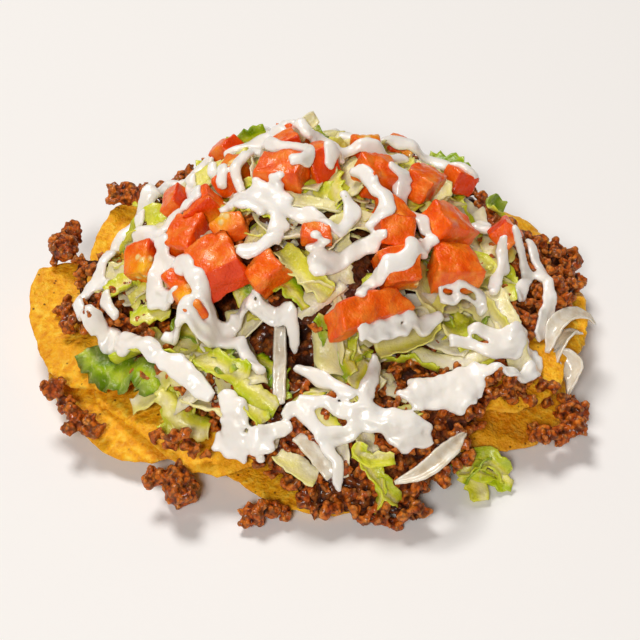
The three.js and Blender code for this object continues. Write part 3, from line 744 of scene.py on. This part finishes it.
def makeTomato(node, material, random):
    # skin on one of the large sides, and in a juicy dice a pocket of gel with seeds
    piece = copyOfNode(node, node + "_dice")
    source, faces = cornersOf(piece.data), facesOf(piece.data)
    a, b, c = (source[faces[:, k]] for k in range(3))
    across = np.cross(b - a, c - a)
    order = np.argsort(-lengths(across))[:6]     # the six largest faces
    side = across[order[random.integers(len(order))]]
    side /= np.linalg.norm(side)
    if side[2] < 0:
        side = -side
    addRemesh(piece, tomato["voxel"])
    addSmooth(piece, tomato["smoothing"])
    applyModifiers(piece)
    setMask(piece.data, "skin", normalsOf(piece.data) @ side)
    seed = random.uniform(0, 50)
    roughen(piece.data, tomato["swell"], tomato["swellDepth"], 1, seed)
    roughen(piece.data, tomato["grain"], tomato["grainDepth"], 2, seed)
    corners, normals = cornersOf(piece.data), normalsOf(piece.data)
    low, high = corners.min(0), corners.max(0)
    spot = low + (high - low) * random.uniform(0.1, 0.9, 3)
    juicy = float(random.uniform() < tomato["juicy"])
    gelReach = random.uniform(*tomato["gelReach"]) * mm
    gel = np.clip(1.4 - lengths(corners - spot) / gelReach, 0, 1) * juicy
    seeds = np.zeros(len(corners))
    inGel = np.flatnonzero(gel > 0.5)
    for _ in range(tomato["seeds"] if len(inGel) else 0):
        apart = lengths(corners - corners[random.choice(inGel)]) / (tomato["seedWidth"] * mm)
        seeds = np.maximum(seeds, np.clip(1 - apart ** 2, 0, 1))
    setCorners(piece.data, corners + normals * (seeds * tomato["seedHeight"] * mm)[:, None])
    setMask(piece.data, "gel", gel)
    setMask(piece.data, "seed", np.clip(2 * seeds, 0, 1))
    return finishPiece(piece, material, "tomato", node)


# lettuce; lengths in millimetres
lettuce = {
    "step": 1.0, "along": (10, 46), "across": 9, "thickness": 0.45, "ribThickness": 0.9,
    # waves: the course's height and length, the edge's, the folds' along and across, the tears'
    "lift": (1.2, 14), "edgeWave": 2.6, "folds": (3.4, 2.6), "tears": 2.2, "crinkle": (0.3, 0.8),
    # as shares of the width; a leaf curls, frills and tears more the greener it is
    "curl": (-0.5, 0.8), "frill": (0.03, 0.4, 1.5), "torn": (0.05, 0.27),
    "pale": (0.35, 0.72),                         # how green it stays at its rib, the last if dark
    # how far the salad reaches from the middle: a radius, and lobes (azimuth, spread, extra)
    "reach": 66, "lobes": [(-95, 34, 20), (-145, 26, 12), (-45, 20, 7), (60, 40, -4)],
    # width, how green, roll at the two ends, then the places that the shred lies over
    "named": [
        (12, 1.1, 10, 40, [(-73, -38), (-66, -47), (-54, -53), (-45, -62)]),
        (8, 0.75, 0, 10, [(-58, -38), (-45, -40)]),
        (9, 0.62, -30, 30, [(-46, -62), (-40, -70), (-32, -74)]),
        (8, 0.7, 0, 40, [(-37, -56), (-29, -61), (-20, -65)]),
        (8, 0.85, 30, -30, [(-20, -38), (-10, -44), (-3, -51)]),
        (8, 0.5, 0, 30, [(-11, -35), (-3, -43), (4, -48)]),
        (7, 0.9, 0, 50, [(0, -52), (5, -59), (10, -66)]),
        (6, 0.85, 20, 0, [(9, -63), (15, -59)]),
        (7, 0.7, 20, 50, [(-23, -66), (-18, -70), (-12, -74)]),
        (7, 0.25, -10, 20, [(-12, -84), (-6, -87), (0, -89)]),
        (8, 0.35, 20, 50, [(36, -30), (48, -38), (60, -43)]),
        (9, 0.9, 10, -20, [(38, 24), (45, 29), (52, 30)]),
        (9, 0.25, 10, 40, [(9, -3), (11, -10), (12, -17)]),
        (8, 0.9, 0, 30, [(58, 26), (61, 27), (64, 28)]),
        (9, 0.9, 20, 0, [(-26, 30), (-20, 29), (-14, 27)]),
        (9, 0.2, 50, 10, [(-68, -14), (-60, -22), (-52, -31)]),
        (9, 0.7, 30, 60, [(0, -5), (4, -13), (6, -21)]),
        (7, 0.2, 10, 30, [(8, 3), (18, 6)]),
        (8, 0.2, 10, 20, [(55, -30), (60, -40), (65, -50)]),
        (8, 0.35, -10, 20, [(33, -32), (40, -38), (45, -42)]),
    ],
    "ribs": [
        (6, 0.05, -20, 30, [(-6, -80), (0, -84), (5, -89)]),
        (11, 0.02, 0, 30, [(13, -56), (26, -50), (39, -44)]),
        (4, 0.05, 0, 20, [(-11, -54), (-11, -73)]),
        (5, 0.08, 60, 40, [(-1.6, 22.5), (-4, 26)]),
    ],
    # shreds that stand up from the heap, with the heights of their places
    "standing": [
        (5, 0.1, 70, 50, [(-7, 22, 64), (-4, 23, 69), (0, 24, 71.5)]),
        (9, 0.85, 50, 80, [(-34, 33, 47), (-26, 38, 51), (-17, 40, 54)]),
        (8, 0.9, 30, 60, [(38, 36, 46), (46, 34, 45), (53, 30, 42)]),
    ],
    # shreds strewn by chance: how many, how high over the bed, and their shapes
    "under": 120, "over": 95, "underHeight": (-2.0, 0.5), "overHeight": (0.5, 3),
    "length": (13, 32), "width": (6, 12), "roll": (-30, 30),
    "greens": [0.06, 0.2, 0.4, 0.65, 0.95], "greenShares": [0.30, 0.22, 0.20, 0.18, 0.10],
    "namedHeight": 3.0, "ribHeight": 3.4,
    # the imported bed: its rim drops from a share of the reach on
    "bed": {"voxel": 1.2, "bridge": 4, "blur": 2, "sunk": 2.0, "rimFrom": 0.7, "rimDrop": 6},
}


def lettuceFinish():
    finish = Finish("lettuceLeaf", roughness=0.3, specular=0.4)
    leaf = finish.ramp(finish.mask("leaf"), [(0.0, "f2e8cc"), (0.25, "eade98"), (0.5, "e0da40"),
                                             (0.72, "c0ce14"), (0.88, "90ae02"), (1.0, "5c7c00")])
    cloudy = finish.ramp(finish.noise(5 * mm, 4), [(0.42, 0.0), (0.78, 0.3)])
    leaf = finish.mix(cloudy, leaf, "e2dc88")
    veins = finish.ramp(finish.noise(1.2 * mm, 2, (1, 0.35, 1)), [(0.55, 0.0), (0.75, 0.35)])
    finish.paint(finish.mix(veins, leaf, "eceab4"))
    finish.bump(finish.noise(1.3 * mm, 4), 0.5 * mm, 0.8)
    finish.soften(0.45, (0.8, 0.85, 0.3), 2.0 * mm)
    finish.wet(0.12, 0.1)
    return finish.material


def ribFinish():
    finish = Finish("paleRib", roughness=0.25, specular=0.45)
    streaks = finish.ramp(finish.noise(3 * mm, 3), [(0.35, "dccbb2"), (0.6, "f0e4d2")])
    finish.paint(finish.mix(finish.ramp(finish.mask("leaf"), [(0.08, 0.0), (0.3, 0.5)]), streaks, "dcdc9a"))
    finish.bump(finish.noise(1.6 * mm, 3), 0.4 * mm, 0.6)
    finish.soften(0.6, (1.0, 0.8, 0.6), 3.0 * mm)
    finish.wet(0.4, 0.08)
    return finish.material


def saladReach(angle):
    reach = lettuce["reach"]
    for azimuth, width, extra in lettuce["lobes"]:
        apart = (math.degrees(angle) - azimuth + 180) % 360 - 180
        reach += extra * math.exp(-(apart / width) ** 2)
    return reach


def spreadRoute(route, count):
    # points of a smooth curve through the places, evenly spaced
    route = np.array(route, float)
    if len(route) == 2:
        route = np.array([route[0], route.mean(0), route[1]])
    padded = np.vstack([2 * route[0] - route[1], route, 2 * route[-1] - route[-2]])
    fine = []
    for i in range(len(route) - 1):
        p0, p1, p2, p3 = padded[i:i + 4]
        for t in np.linspace(0, 1, 24, endpoint=False):
            fine.append(0.5 * (2 * p1 + (p2 - p0) * t + (2 * p0 - 5 * p1 + 4 * p2 - p3) * t ** 2
                               + (3 * p1 - p0 - 3 * p2 + p3) * t ** 3))
    fine.append(route[-1])
    fine = np.array(fine)
    steps = np.concatenate([[0], np.cumsum(lengths(np.diff(fine, axis=0)))])
    even = np.linspace(0, steps[-1], count)
    return np.stack([np.interp(even, steps, fine[:, k]) for k in range(fine.shape[1])], 1)


def easedHeights(heights, rounds):
    for _ in range(rounds):
        padded = np.pad(heights, 1, mode="edge")
        heights = (padded[:-2] + 2 * padded[1:-1] + padded[2:]) / 4
    return heights


def makeShred(route, width, green, rollStart, rollEnd, random, grid, hover, pointed=False):
    # a curled strip of leaf, crinkled towards its torn edges, in metres; a route of flat
    # places lies on the grid, and one with heights keeps to them
    route = np.array(route, float)
    length = lengths(np.diff(route, axis=0)).sum()
    along, across = int(np.clip(length / (lettuce["step"] * mm), *lettuce["along"])), lettuce["across"]
    course = spreadRoute(route, along)
    seed = random.uniform(0, 99)
    u = np.linspace(0, 1, along)
    if route.shape[1] == 3:
        centre = course
    else:
        heights = easedHeights(heightAt(grid, course[:, 0], course[:, 1]), 4) + hover
        lift, span = lettuce["lift"]
        heights += lift * mm * np.array([noise.noise(Vector((s * length / (span * mm), seed, 0))) for s in u])
        centre = np.column_stack([course, heights])
    ahead = np.gradient(centre, axis=0)
    ahead /= lengths(ahead)[:, None]
    side = np.cross([0, 0, 1], ahead)
    side /= lengths(side)[:, None]
    up = np.cross(ahead, side)
    roll = np.radians(rollStart + (rollEnd - rollStart) * u)[:, None]
    turnedSide = side * np.cos(roll) + up * np.sin(roll)
    turnedUp = up * np.cos(roll) - side * np.sin(roll)
    leafy = min(green, 1)
    blunt = 0 if pointed else 0.75 - 0.2 * leafy  # ribs are cut square, leaves taper
    taper = np.sin(np.pi * np.clip(u * 0.94 + 0.03, 0, 1)) ** (0.8 if pointed else 0.5)
    profile = 0.5 * width * (blunt + (1 - blunt) * taper)
    curl = random.uniform(*lettuce["curl"])
    least, more, power = lettuce["frill"]
    frill = (least + more * leafy ** power) * random.uniform(0.6, 1.1) * width
    crinkle = random.uniform(*lettuce["crinkle"]) * mm
    torn = (lettuce["torn"][0] + lettuce["torn"][1] * leafy) * width
    rib = random.uniform(-0.8, 0.8)
    pale = lettuce["pale"][green > 1]
    foldAlong, foldAcross = lettuce["folds"]
    corners = np.zeros((along, across, 3))
    leaf = np.zeros((along, across))
    for j, w in enumerate(np.linspace(-1, 1, across)):
        edge = abs(w) ** 1.6
        for i in range(along):
            run = u[i] * length / mm
            wave = noise.noise(Vector((run / lettuce["edgeWave"], np.sign(w) * 5 + seed, 0.6 * w)))
            fold = noise.noise(Vector((run / foldAlong, w * profile[i] / mm / foldAcross, seed + 31)))
            tear = noise.fractal(Vector((run / lettuce["tears"], np.sign(w) * 9 + seed, 7)), 1.0, 2.0, 2)
            out = profile[i] * w + np.sign(w) * torn * edge * tear
            rise = curl * profile[i] * w * w + frill * edge * wave + crinkle * fold
            corners[i, j] = centre[i] + turnedSide[i] * out + turnedUp[i] * rise
            leaf[i, j] = green * (pale + (1 - pale) * min(1, abs(w - rib) * 1.2)) + 0.15 * fold
    index = np.arange(along * across).reshape(along, across)
    a, b, c, d = index[:-1, :-1], index[1:, :-1], index[1:, 1:], index[:-1, 1:]
    faces = np.stack([a, b, c, d], -1).reshape(-1, 4)
    return corners.reshape(-1, 3), faces, {"leaf": np.clip(leaf.ravel(), 0, 1)}


def shredAlong(strip, random, grid, hover=0, pointed=False):
    # a shred by its settings: its places slide to the heap, or keep the heights they have
    width, green, rollStart, rollEnd, route = strip
    if len(route[0]) == 3:
        route = [(*placed(x, y), z * mm) for x, y, z in route]
    else:
        route = slid(route, grid)
    return makeShred(route, width * mm, green, rollStart, rollEnd, random, grid, hover * mm, pointed)


def strewnShred(i, random, grid, height):
    # a shred that fell anywhere on the salad
    angle = 2 * math.pi * ((i * 0.618034) % 1) + random.uniform(-0.2, 0.2)
    half = random.uniform(*lettuce["length"]) * mm / 2
    distance = math.sqrt(random.uniform(0.01, 1)) * (saladReach(angle) - 0.7 * half / mm)
    x, y = placed(distance * math.cos(angle), distance * math.sin(angle))
    course = random.uniform(0, math.pi)
    bend = random.uniform(-0.5, 0.5) * half
    c, s = math.cos(course), math.sin(course)
    plan = [(x - half * c, y - half * s), (x - bend * s, y + bend * c), (x + half * c, y + half * s)]
    green = random.choice(lettuce["greens"], p=lettuce["greenShares"])
    width = random.uniform(*lettuce["width"]) * mm
    rollStart, rollEnd = random.uniform(*lettuce["roll"]), random.uniform(*lettuce["roll"])
    return makeShred(plan, width, green, rollStart, rollEnd, random, grid, random.uniform(*height) * mm)


def shredPiece(name, parts, thickness, material, slotName, *nodes):
    piece = joinedPiece(name, parts)
    thick = piece.modifiers.new("thick", "SOLIDIFY")
    thick.thickness = thickness * mm
    thick.offset = 0
    applyModifiers(piece)
    return finishPiece(piece, material, slotName, *nodes)


def makeLettuce(material, ribMaterial, grid):
    random = np.random.default_rng(11)
    under = [strewnShred(i, random, grid, lettuce["underHeight"]) for i in range(lettuce["under"])]
    over = [strewnShred(i + 0.5, random, grid, lettuce["overHeight"]) for i in range(lettuce["over"])]
    over += [shredAlong(strip, random, grid, lettuce["namedHeight"])
             for strip in lettuce["named"] + lettuce["standing"]]
    ribs = [shredAlong(strip, random, grid, lettuce["ribHeight"]) for strip in lettuce["ribs"]]
    return [shredPiece("lettuce_under", under, lettuce["thickness"], material, "lettuce", "salad"),
            shredPiece("lettuce_over", over, lettuce["thickness"], material, "lettuce"),
            shredPiece("lettuce_ribs", ribs, lettuce["ribThickness"], ribMaterial, "rib")]


def makeSaladBed(material, grid):
    # packed salad under the shreds: the solid's own bulk, without its strands
    settings = lettuce["bed"]
    bed = copyOfNode("salad", "salad_bed")
    addRemesh(bed, settings["voxel"])
    applyModifiers(bed)
    top = blurred(-closedUp(-grid, settings["bridge"]), settings["blur"]) - settings["sunk"] * mm
    corners = cornersOf(bed.data)
    plan = corners[:, :2] / mm - heap["shift"]
    share = np.hypot(*plan.T) / np.array([saladReach(math.atan2(y, x)) for x, y in plan])
    rim = np.clip((share - settings["rimFrom"]) / 0.3, 0, 1.3) * settings["rimDrop"] * mm
    corners[:, 2] = np.minimum(corners[:, 2], heightAt(top, corners[:, 0], corners[:, 1]) - rim)
    setCorners(bed.data, corners)
    return finishPiece(coreOf(bed, beef["bed"]), material, "lettuce", "salad")


# cream; lengths in millimetres
cream = {
    "voxel": 0.6, "smoothing": 8, "step": 0.9, "bridge": 3, "blur": (0.9, 2),
    "depth": (1.1, 1.8), "sag": 2.6, "climb": 1.6, "drift": 0.9, "slim": 0.8,
    # wavelengths and seeds of a strand's swell, its two sides, its drift and its depth
    "wander": [(9, 0), (4, 3), (4, 6), (7, 9), (6, 12)],
    # a pool's drops, the rim they stay inside, its lobes, and its folds (height, lengths)
    "poolDrop": (1.5, 2.1), "poolDepth": (1.0, 1.5), "poolRim": 1.5,
    "lobes": (0.6, 1.9), "folds": (0.6, 4.5, 3),
    # width, then the places that the strand runs over
    "strands": [
        (5.5, [(-35, 20), (-48, 18), (-57, 12), (-64, 3), (-70, -6), (-77, -13)]),
        (5, [(-54, 25), (-56.5, 9), (-58, 2)]),
        (7, [(-59, -6), (-55.5, -5), (-52, -9), (-49, -15), (-50, -23), (-51, -30), (-48, -34), (-44, -37)]),
        (5, [(-41, -4), (-45.5, -5), (-49, -8)]),
        (5, [(-41, 14), (-41, 6), (-38, -2)]),
        (5, [(-34, 15), (-31, 5), (-30, -2)]),
        (5, [(-24, -8), (-26, 4), (-24, 10), (-20, 12.5), (-12, 11), (-6, 9), (-3, 5), (-4, -1), (-8, 0)]),
        (6, [(-30, 20), (-20, 19.5), (-17, 26), (-13, 28), (-3, 22), (0, 17), (4, 9), (5, 2)]),
        (7, [(-16, -16), (-12, -22), (-13, -30)]),
        (6, [(-24, -30), (-20, -31), (-14, -29), (-11, -26)]),
        (6, [(-9, -20), (-2, -22.5), (3, -25), (7.5, -27), (11, -20.5), (8, -15)]),
        (6, [(29, 15), (20, 12.5), (12.5, 10), (7, 3.5), (4, -3)]),
        (6, [(11, -4.5), (13.5, -3.5), (17.5, -9), (21, -12), (21.5, -17), (17.5, -22.5), (16, -25)]),
        (6, [(23.5, 4.5), (27.5, -1.5), (26.5, -8), (26, -12), (31, -15), (34, -19)]),
        (7.5, [(37, -20), (33, -24), (28, -31), (22, -36), (16, -41), (13, -45)]),
        (6.5, [(21, -26), (15, -30), (9, -35), (1, -36)]),
        (5, [(71, 9), (72, 3), (74, -5), (76, -15), (73, -25), (70, -33)]),
        (5, [(65, 5), (66, -1), (68, -8), (67, -16), (64, -24)]),
        (5, [(61, -3), (60, -12), (58, -20), (55, -28)]),
        (5, [(38, -38), (44, -35), (50, -32), (52, -36)]),
        (5.5, [(47, -45), (55, -42), (62, -38), (66, -36)]),
        (5.5, [(41, -50), (48, -48), (55, -47), (62, -42), (69, -40), (68, -45), (60, -51), (52, -54)]),
        (6, [(13, -56), (22, -52), (30, -48), (38, -44)]),
        (5, [(18, -58), (17, -64), (14, -70)]),
        (5.5, [(8, -72), (16, -75), (22, -76), (26, -78), (34, -75)]),
        (5, [(0, -79), (6, -78), (12, -76)]),
        (5, [(-9, -74), (-6, -72), (-2, -75), (2, -79), (6, -84), (6, -89)]),
        (8, [(-70, -28), (-68, -34), (-64, -38), (-60, -42), (-55, -45), (-50, -49), (-44, -55), (-38, -60),
             (-32, -66)]),
        (5, [(-78, -14), (-76, -20), (-73, -27), (-71, -32)]),
        (5, [(-68, -20), (-66, -27), (-64, -32)]),
        (5, [(-78, -14), (-72, -12), (-68, -16)]),
        (6.5, [(-50, -22), (-46, -23), (-42, -26), (-39, -31), (-36, -37), (-33, -43), (-28, -49),
               (-25, -51)]),
        (5, [(-26, -46), (-22, -45), (-18, -48), (-13, -50), (-9, -50), (-6, -57)]),
        (7.5, [(-47, -46), (-37, -46), (-33, -50), (-28, -54), (-22, -57), (-17, -63)]),
        (8, [(-28, -66), (-25, -70), (-23, -75), (-26, -78), (-21, -82)]),
        (5, [(-20, -79), (-15, -77), (-8, -76)]),
        (5, [(-6, -63), (-1, -65), (5, -67), (11, -69)]),
        (5, [(-5, -70), (2, -71), (8, -73), (14, -72), (26, -72)]),
        (7, [(-48, 30), (-36, 44), (-20, 48), (-6, 40)]),
        (7, [(-12, 62), (4, 52), (20, 58), (34, 46)]),
        (7, [(8, 34), (24, 30), (38, 34), (54, 28)]),
    ],
    # pools: place, half length, half width, turn
    "pools": [
        (-18, -13, 14, 10, -10), (37, -64, 17, 7.5, 10), (46, -57, 9, 6, 25), (27, -73, 9, 5, 10),
        (-16.5, -79.5, 6, 4, 10), (1, -37, 6, 6, 0), (53, -5, 5, 5, 0), (-26, -74, 8, 5, 40),
        (-60, -41, 8, 5, -40),
    ],
}


def creamFinish():
    finish = Finish("sourCream", roughness=0.3, specular=0.5)
    finish.paint(finish.ramp(finish.noise(12 * mm, 3), [(0.3, "f8f0e6"), (0.7, "fdf8f2")]))
    finish.bump(finish.noise(2.5 * mm, 3), 0.35 * mm, 0.5)
    finish.soften(0.4, (1.0, 0.85, 0.7), 1.6 * mm)
    finish.wet(0.4, 0.12)
    return finish.material


def strandDrops(width, route, grid, random):
    # drops across a flat band that hugs the heap and sags over its gaps: places and sizes
    flat = spreadRoute(route, 200)
    levels = easedHeights(heightAt(grid, flat[:, 0], flat[:, 1]), 10)
    run = np.concatenate([[0], np.cumsum(lengths(np.diff(np.column_stack([flat, levels]), axis=0)))])
    count = max(4, int(run[-1] / (cream["step"] * mm)))
    even = np.linspace(0, run[-1], count)
    x, y, level = (np.interp(even, run, values) for values in (flat[:, 0], flat[:, 1], levels))
    ahead = np.gradient(np.column_stack([x, y]), axis=0)
    ahead /= np.maximum(lengths(ahead), 1e-9)[:, None]
    side = np.column_stack([-ahead[:, 1], ahead[:, 0]])
    seed = random.uniform(0, 99)

    def wander(size, offset):
        return np.array([noise.noise(Vector((s / (size * mm), seed, offset))) for s in even])

    swell, left, right, drift, thick = (wander(*pair) for pair in cream["wander"])
    half = 0.5 * cream["slim"] * width * mm
    drops = []
    for i in range(count):
        ends = 0.6 + 0.4 * min(1, 7 * min(i, count - 1 - i) / count)
        depth = np.interp(thick[i], [-0.6, 0.6], cream["depth"]) * mm
        sides = half * ends * (1 + 0.45 * swell[i]) * np.array([1 + 0.5 * left[i], 1 + 0.5 * right[i]])
        across = np.linspace(-1, 1, 3 if width < 6 else 5)
        for w in across:
            reach = sides[0] if w < 0 else sides[1]
            px, py = np.array([x[i], y[i]]) + side[i] * (w * reach * 0.66 + cream["drift"] * mm * drift[i])
            ground = float(heightAt(grid, px, py))
            z = min(max(ground, level[i] - cream["sag"] * mm), level[i] + cream["climb"] * mm)
            size = max(0.34 * reach, 0.8 * mm)
            drops.append((px, py, z + 0.25 * depth, size * 1.15, depth * (1 - 0.25 * w * w)))
    return drops


def poolDrops(pool, grid, random):
    # a broad patch with lobes at its rim
    x, y, halfLength, halfWidth, turn = pool
    (px, py), = slid([(x, y)], grid)
    c, s = math.cos(math.radians(turn)), math.sin(math.radians(turn))
    seed = random.uniform(0, 99)
    halfLength, halfWidth = halfLength * cream["slim"], halfWidth * cream["slim"]
    rim, (lobes, lobeSize), (folds, foldAlong, foldAcross) = cream["poolRim"], cream["lobes"], cream["folds"]
    count = int(1.3 * halfLength * halfWidth)
    drops = []
    for i in range(count):
        angle, share = 2.39996 * i, math.sqrt((i + 0.5) / count)
        cosine, sine = math.cos(angle), math.sin(angle)
        lobe = 1 + lobes * noise.noise(Vector((lobeSize * cosine, lobeSize * sine, seed)))
        a = share * (halfLength - rim) * lobe * cosine
        b = share * (halfWidth - rim) * lobe * sine
        dx, dy = px + (a * c - b * s) * mm, py + (a * s + b * c) * mm
        fold = folds * mm * (0.6 + noise.noise(Vector((a / foldAlong, b / foldAcross, seed))))
        size, depth = random.uniform(*cream["poolDrop"]) * mm, random.uniform(*cream["poolDepth"]) * mm
        drops.append((dx, dy, float(heightAt(grid, dx, dy)) + fold, size, depth))
    return drops


def makeCream(material, grid):
    random = np.random.default_rng(17)
    bridged = blurred(closedUp(grid, cream["bridge"]), cream["blur"][0])
    eased = blurred(bridged, cream["blur"][1])
    drops = []
    for width, route in cream["strands"]:
        drops += strandDrops(width, slid(route, eased), bridged, random)
    for pool in cream["pools"]:
        drops += poolDrops(pool, bridged, random)
    ballCorners, ballFaces = ballOf(2)
    piece = joinedPiece("cream_drizzle", [(ballCorners * [size, size, depth] + [x, y, z], ballFaces, {})
                                          for x, y, z, size, depth in drops])
    addRemesh(piece, cream["voxel"])
    addSmooth(piece, cream["smoothing"])
    applyModifiers(piece)
    print("cream laid:", len(drops), "drops,", 2 * len(piece.data.polygons), "triangles")
    return finishPiece(piece, material, "cream")


# pale slices and sprigs that lie apart; lengths in millimetres
looseShreds = {
    # thickness, whether its ends are pointed, and the strips as in the lettuce, with heights
    "rib_slice_front": (0.8, True, [
        (5.2, 0.03, 20, 30, [(23, -89, 17), (31, -87, 19), (39, -80, 21), (45, -71, 20)]),
    ]),
    "rib_slice_right": (0.6, True, [
        (6.5, 0.03, -10, 10, [(92, -14, 15), (88, -15, 19), (82, -19, 22), (77, -25, 22.5), (74, -32, 18)]),
        (6, 0.03, 10, 40, [(87, -20, 16), (82, -24, 19), (78, -30, 18), (76, -36, 14)]),
        (7, 0.03, 20, 50, [(74, -33, 16), (79, -32, 16), (83, -36, 13), (81, -42, 9)]),
    ]),
    "lettuce_sprig_front": (0.5, False, [
        (5.5, 0.7, 0, 30, [(13, -82, 27), (13, -83, 23), (15, -85, 20), (20, -88, 14), (24, -89, 8)]),
        (4.5, 0.6, 10, 40, [(11, -83, 23), (16, -85, 22), (23, -84, 22)]),
        (4, 0.8, 40, 10, [(19, -87, 17), (19, -89, 11), (17, -90, 6)]),
    ]),
    "lettuce_sprig_right": (0.5, False, [
        (7, 0.75, 10, 30, [(43, -74, 5), (48, -72, 7), (53, -70, 7), (59, -72, 3)]),
        (6, 0.85, -30, 10, [(45, -77, 2), (49, -72, 6), (52, -68, 4)]),
        (6.5, 0.55, 20, 0, [(47, -72, 6), (49, -77, 3), (50, -82, 2)]),
        (5.5, 0.8, -10, 40, [(51, -72, 5), (56, -75, 3), (60, -76, 2)]),
        (4.5, 0.7, 30, -20, [(46, -71, 7), (50, -75, 6), (55, -74, 4)]),
    ]),
}
looseLift = {"clear": 0.4, "percent": 60, "floor": 0.1}


def makeLooseShred(node, material, grid):
    # each strip is lifted until most of it is clear of the chips and the beef
    random = np.random.default_rng(len(node))
    thickness, pointed, strips = looseShreds[node]
    parts = []
    for strip in strips:
        corners, faces, masks = shredAlong(strip, random, grid, pointed=pointed)
        below = heightAt(grid, corners[:, 0], corners[:, 1]) + looseLift["clear"] * mm - corners[:, 2]
        corners[:, 2] += max(0, np.percentile(below, looseLift["percent"]))
        corners[:, 2] = np.maximum(corners[:, 2], 0.5 * thickness * mm + looseLift["floor"] * mm)
        parts.append((corners, faces, masks))
    slotName = "rib" if node.startswith("rib") else "lettuce"
    shredPiece(node + "_leaf", parts, thickness, material, slotName, node)


# the heap is laid from the chips up, and each layer lies on the relief of those below
random = np.random.default_rng(3)
chipMaterial = chipFinish()
chips = [makeChip(node, chipMaterial, random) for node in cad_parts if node.startswith("chip")]
print("chips baked:", len(chips))
solidGrid = reliefOver([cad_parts["salad"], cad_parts["beef"]] + chips)
# the bed shows as mince in the gaps between the shreds, darkened by 0.85 with painted shade
bed = makeSaladBed(beefFinish("saladShade", 0.85), solidGrid)
beefPieces = makeBeef(bed, blurred(solidGrid, 1))
tomatoMaterial = tomatoFinish()
tomatoes = [makeTomato(node, tomatoMaterial, random) for node in tomatoNodes]
print("tomato diced:", sum(2 * len(piece.data.polygons) for piece in tomatoes), "triangles")
lettuceMaterial = lettuceFinish()
ribMaterial = ribFinish()
shreds = makeLettuce(lettuceMaterial, ribMaterial, blurred(reliefOver([bed] + beefPieces + chips), 2.5))
print("lettuce shredded:", sum(2 * len(piece.data.polygons) for piece in shreds), "triangles")
topGrid = reliefOver([bed] + shreds + tomatoes + beefPieces + chips)
creamPiece = makeCream(creamFinish(), topGrid)
groundGrid = blurred(reliefOver(beefPieces + chips), 1.5)
for node in looseShreds:
    makeLooseShred(node, ribMaterial if node.startswith("rib") else lettuceMaterial, groundGrid)
print("loose shreds laid")


# floor, light and camera, in metres
studio = {
    "floor": (6, "f8f7f6"), "world": ("ffe6d0", 0.08),
    "aim": (0, 0, 0.03), "lampColour": (1.0, 0.975, 0.945),
    # name, place, size, power
    "lamps": [("key", (-0.6, 1.0, 2.2), 0.9, 38.5), ("fill", (-0.4, -2.0, 1.7), 0.7, 39.5)],
}


def makeFloor():
    size, tone = studio["floor"]
    bpy.ops.mesh.primitive_plane_add(size=size, location=(0, 0, 0))
    floor = bpy.context.object
    floor.name = "floor"
    finish = Finish("paleFloor", roughness=0.9, specular=0.1)
    finish.paint(tone)
    floor.data.materials.append(finish.material)


def addLamp(name, place, size, power):
    lamp = bpy.data.lights.new(name, "AREA")
    lamp.shape = "DISK"
    lamp.size = size
    lamp.energy = power
    lamp.color = studio["lampColour"]
    holder = bpy.data.objects.new(name, lamp)
    bpy.context.collection.objects.link(holder)
    holder.location = place
    holder.rotation_euler = (Vector(studio["aim"]) - Vector(place)).to_track_quat("-Z", "Y").to_euler()


def addCamera():
    camera = bpy.data.cameras.new("camera")
    camera.lens = view["lens"]
    camera.sensor_width = 36
    camera.clip_start = 0.01
    holder = bpy.data.objects.new("camera", camera)
    bpy.context.collection.objects.link(holder)
    holder.location = viewPlace()
    holder.rotation_euler = (math.radians(90 - view["elevation"]), 0, 0)
    bpy.context.scene.camera = holder


makeFloor()
for lamp in studio["lamps"]:
    addLamp(*lamp)
world = bpy.data.worlds.new("studio")
bpy.context.scene.world = world
world.use_nodes = True
background = world.node_tree.nodes["Background"]
background.inputs["Color"].default_value = linear(studio["world"][0])
background.inputs["Strength"].default_value = studio["world"][1]
bpy.context.scene.view_settings.view_transform = "Standard"
addCamera()
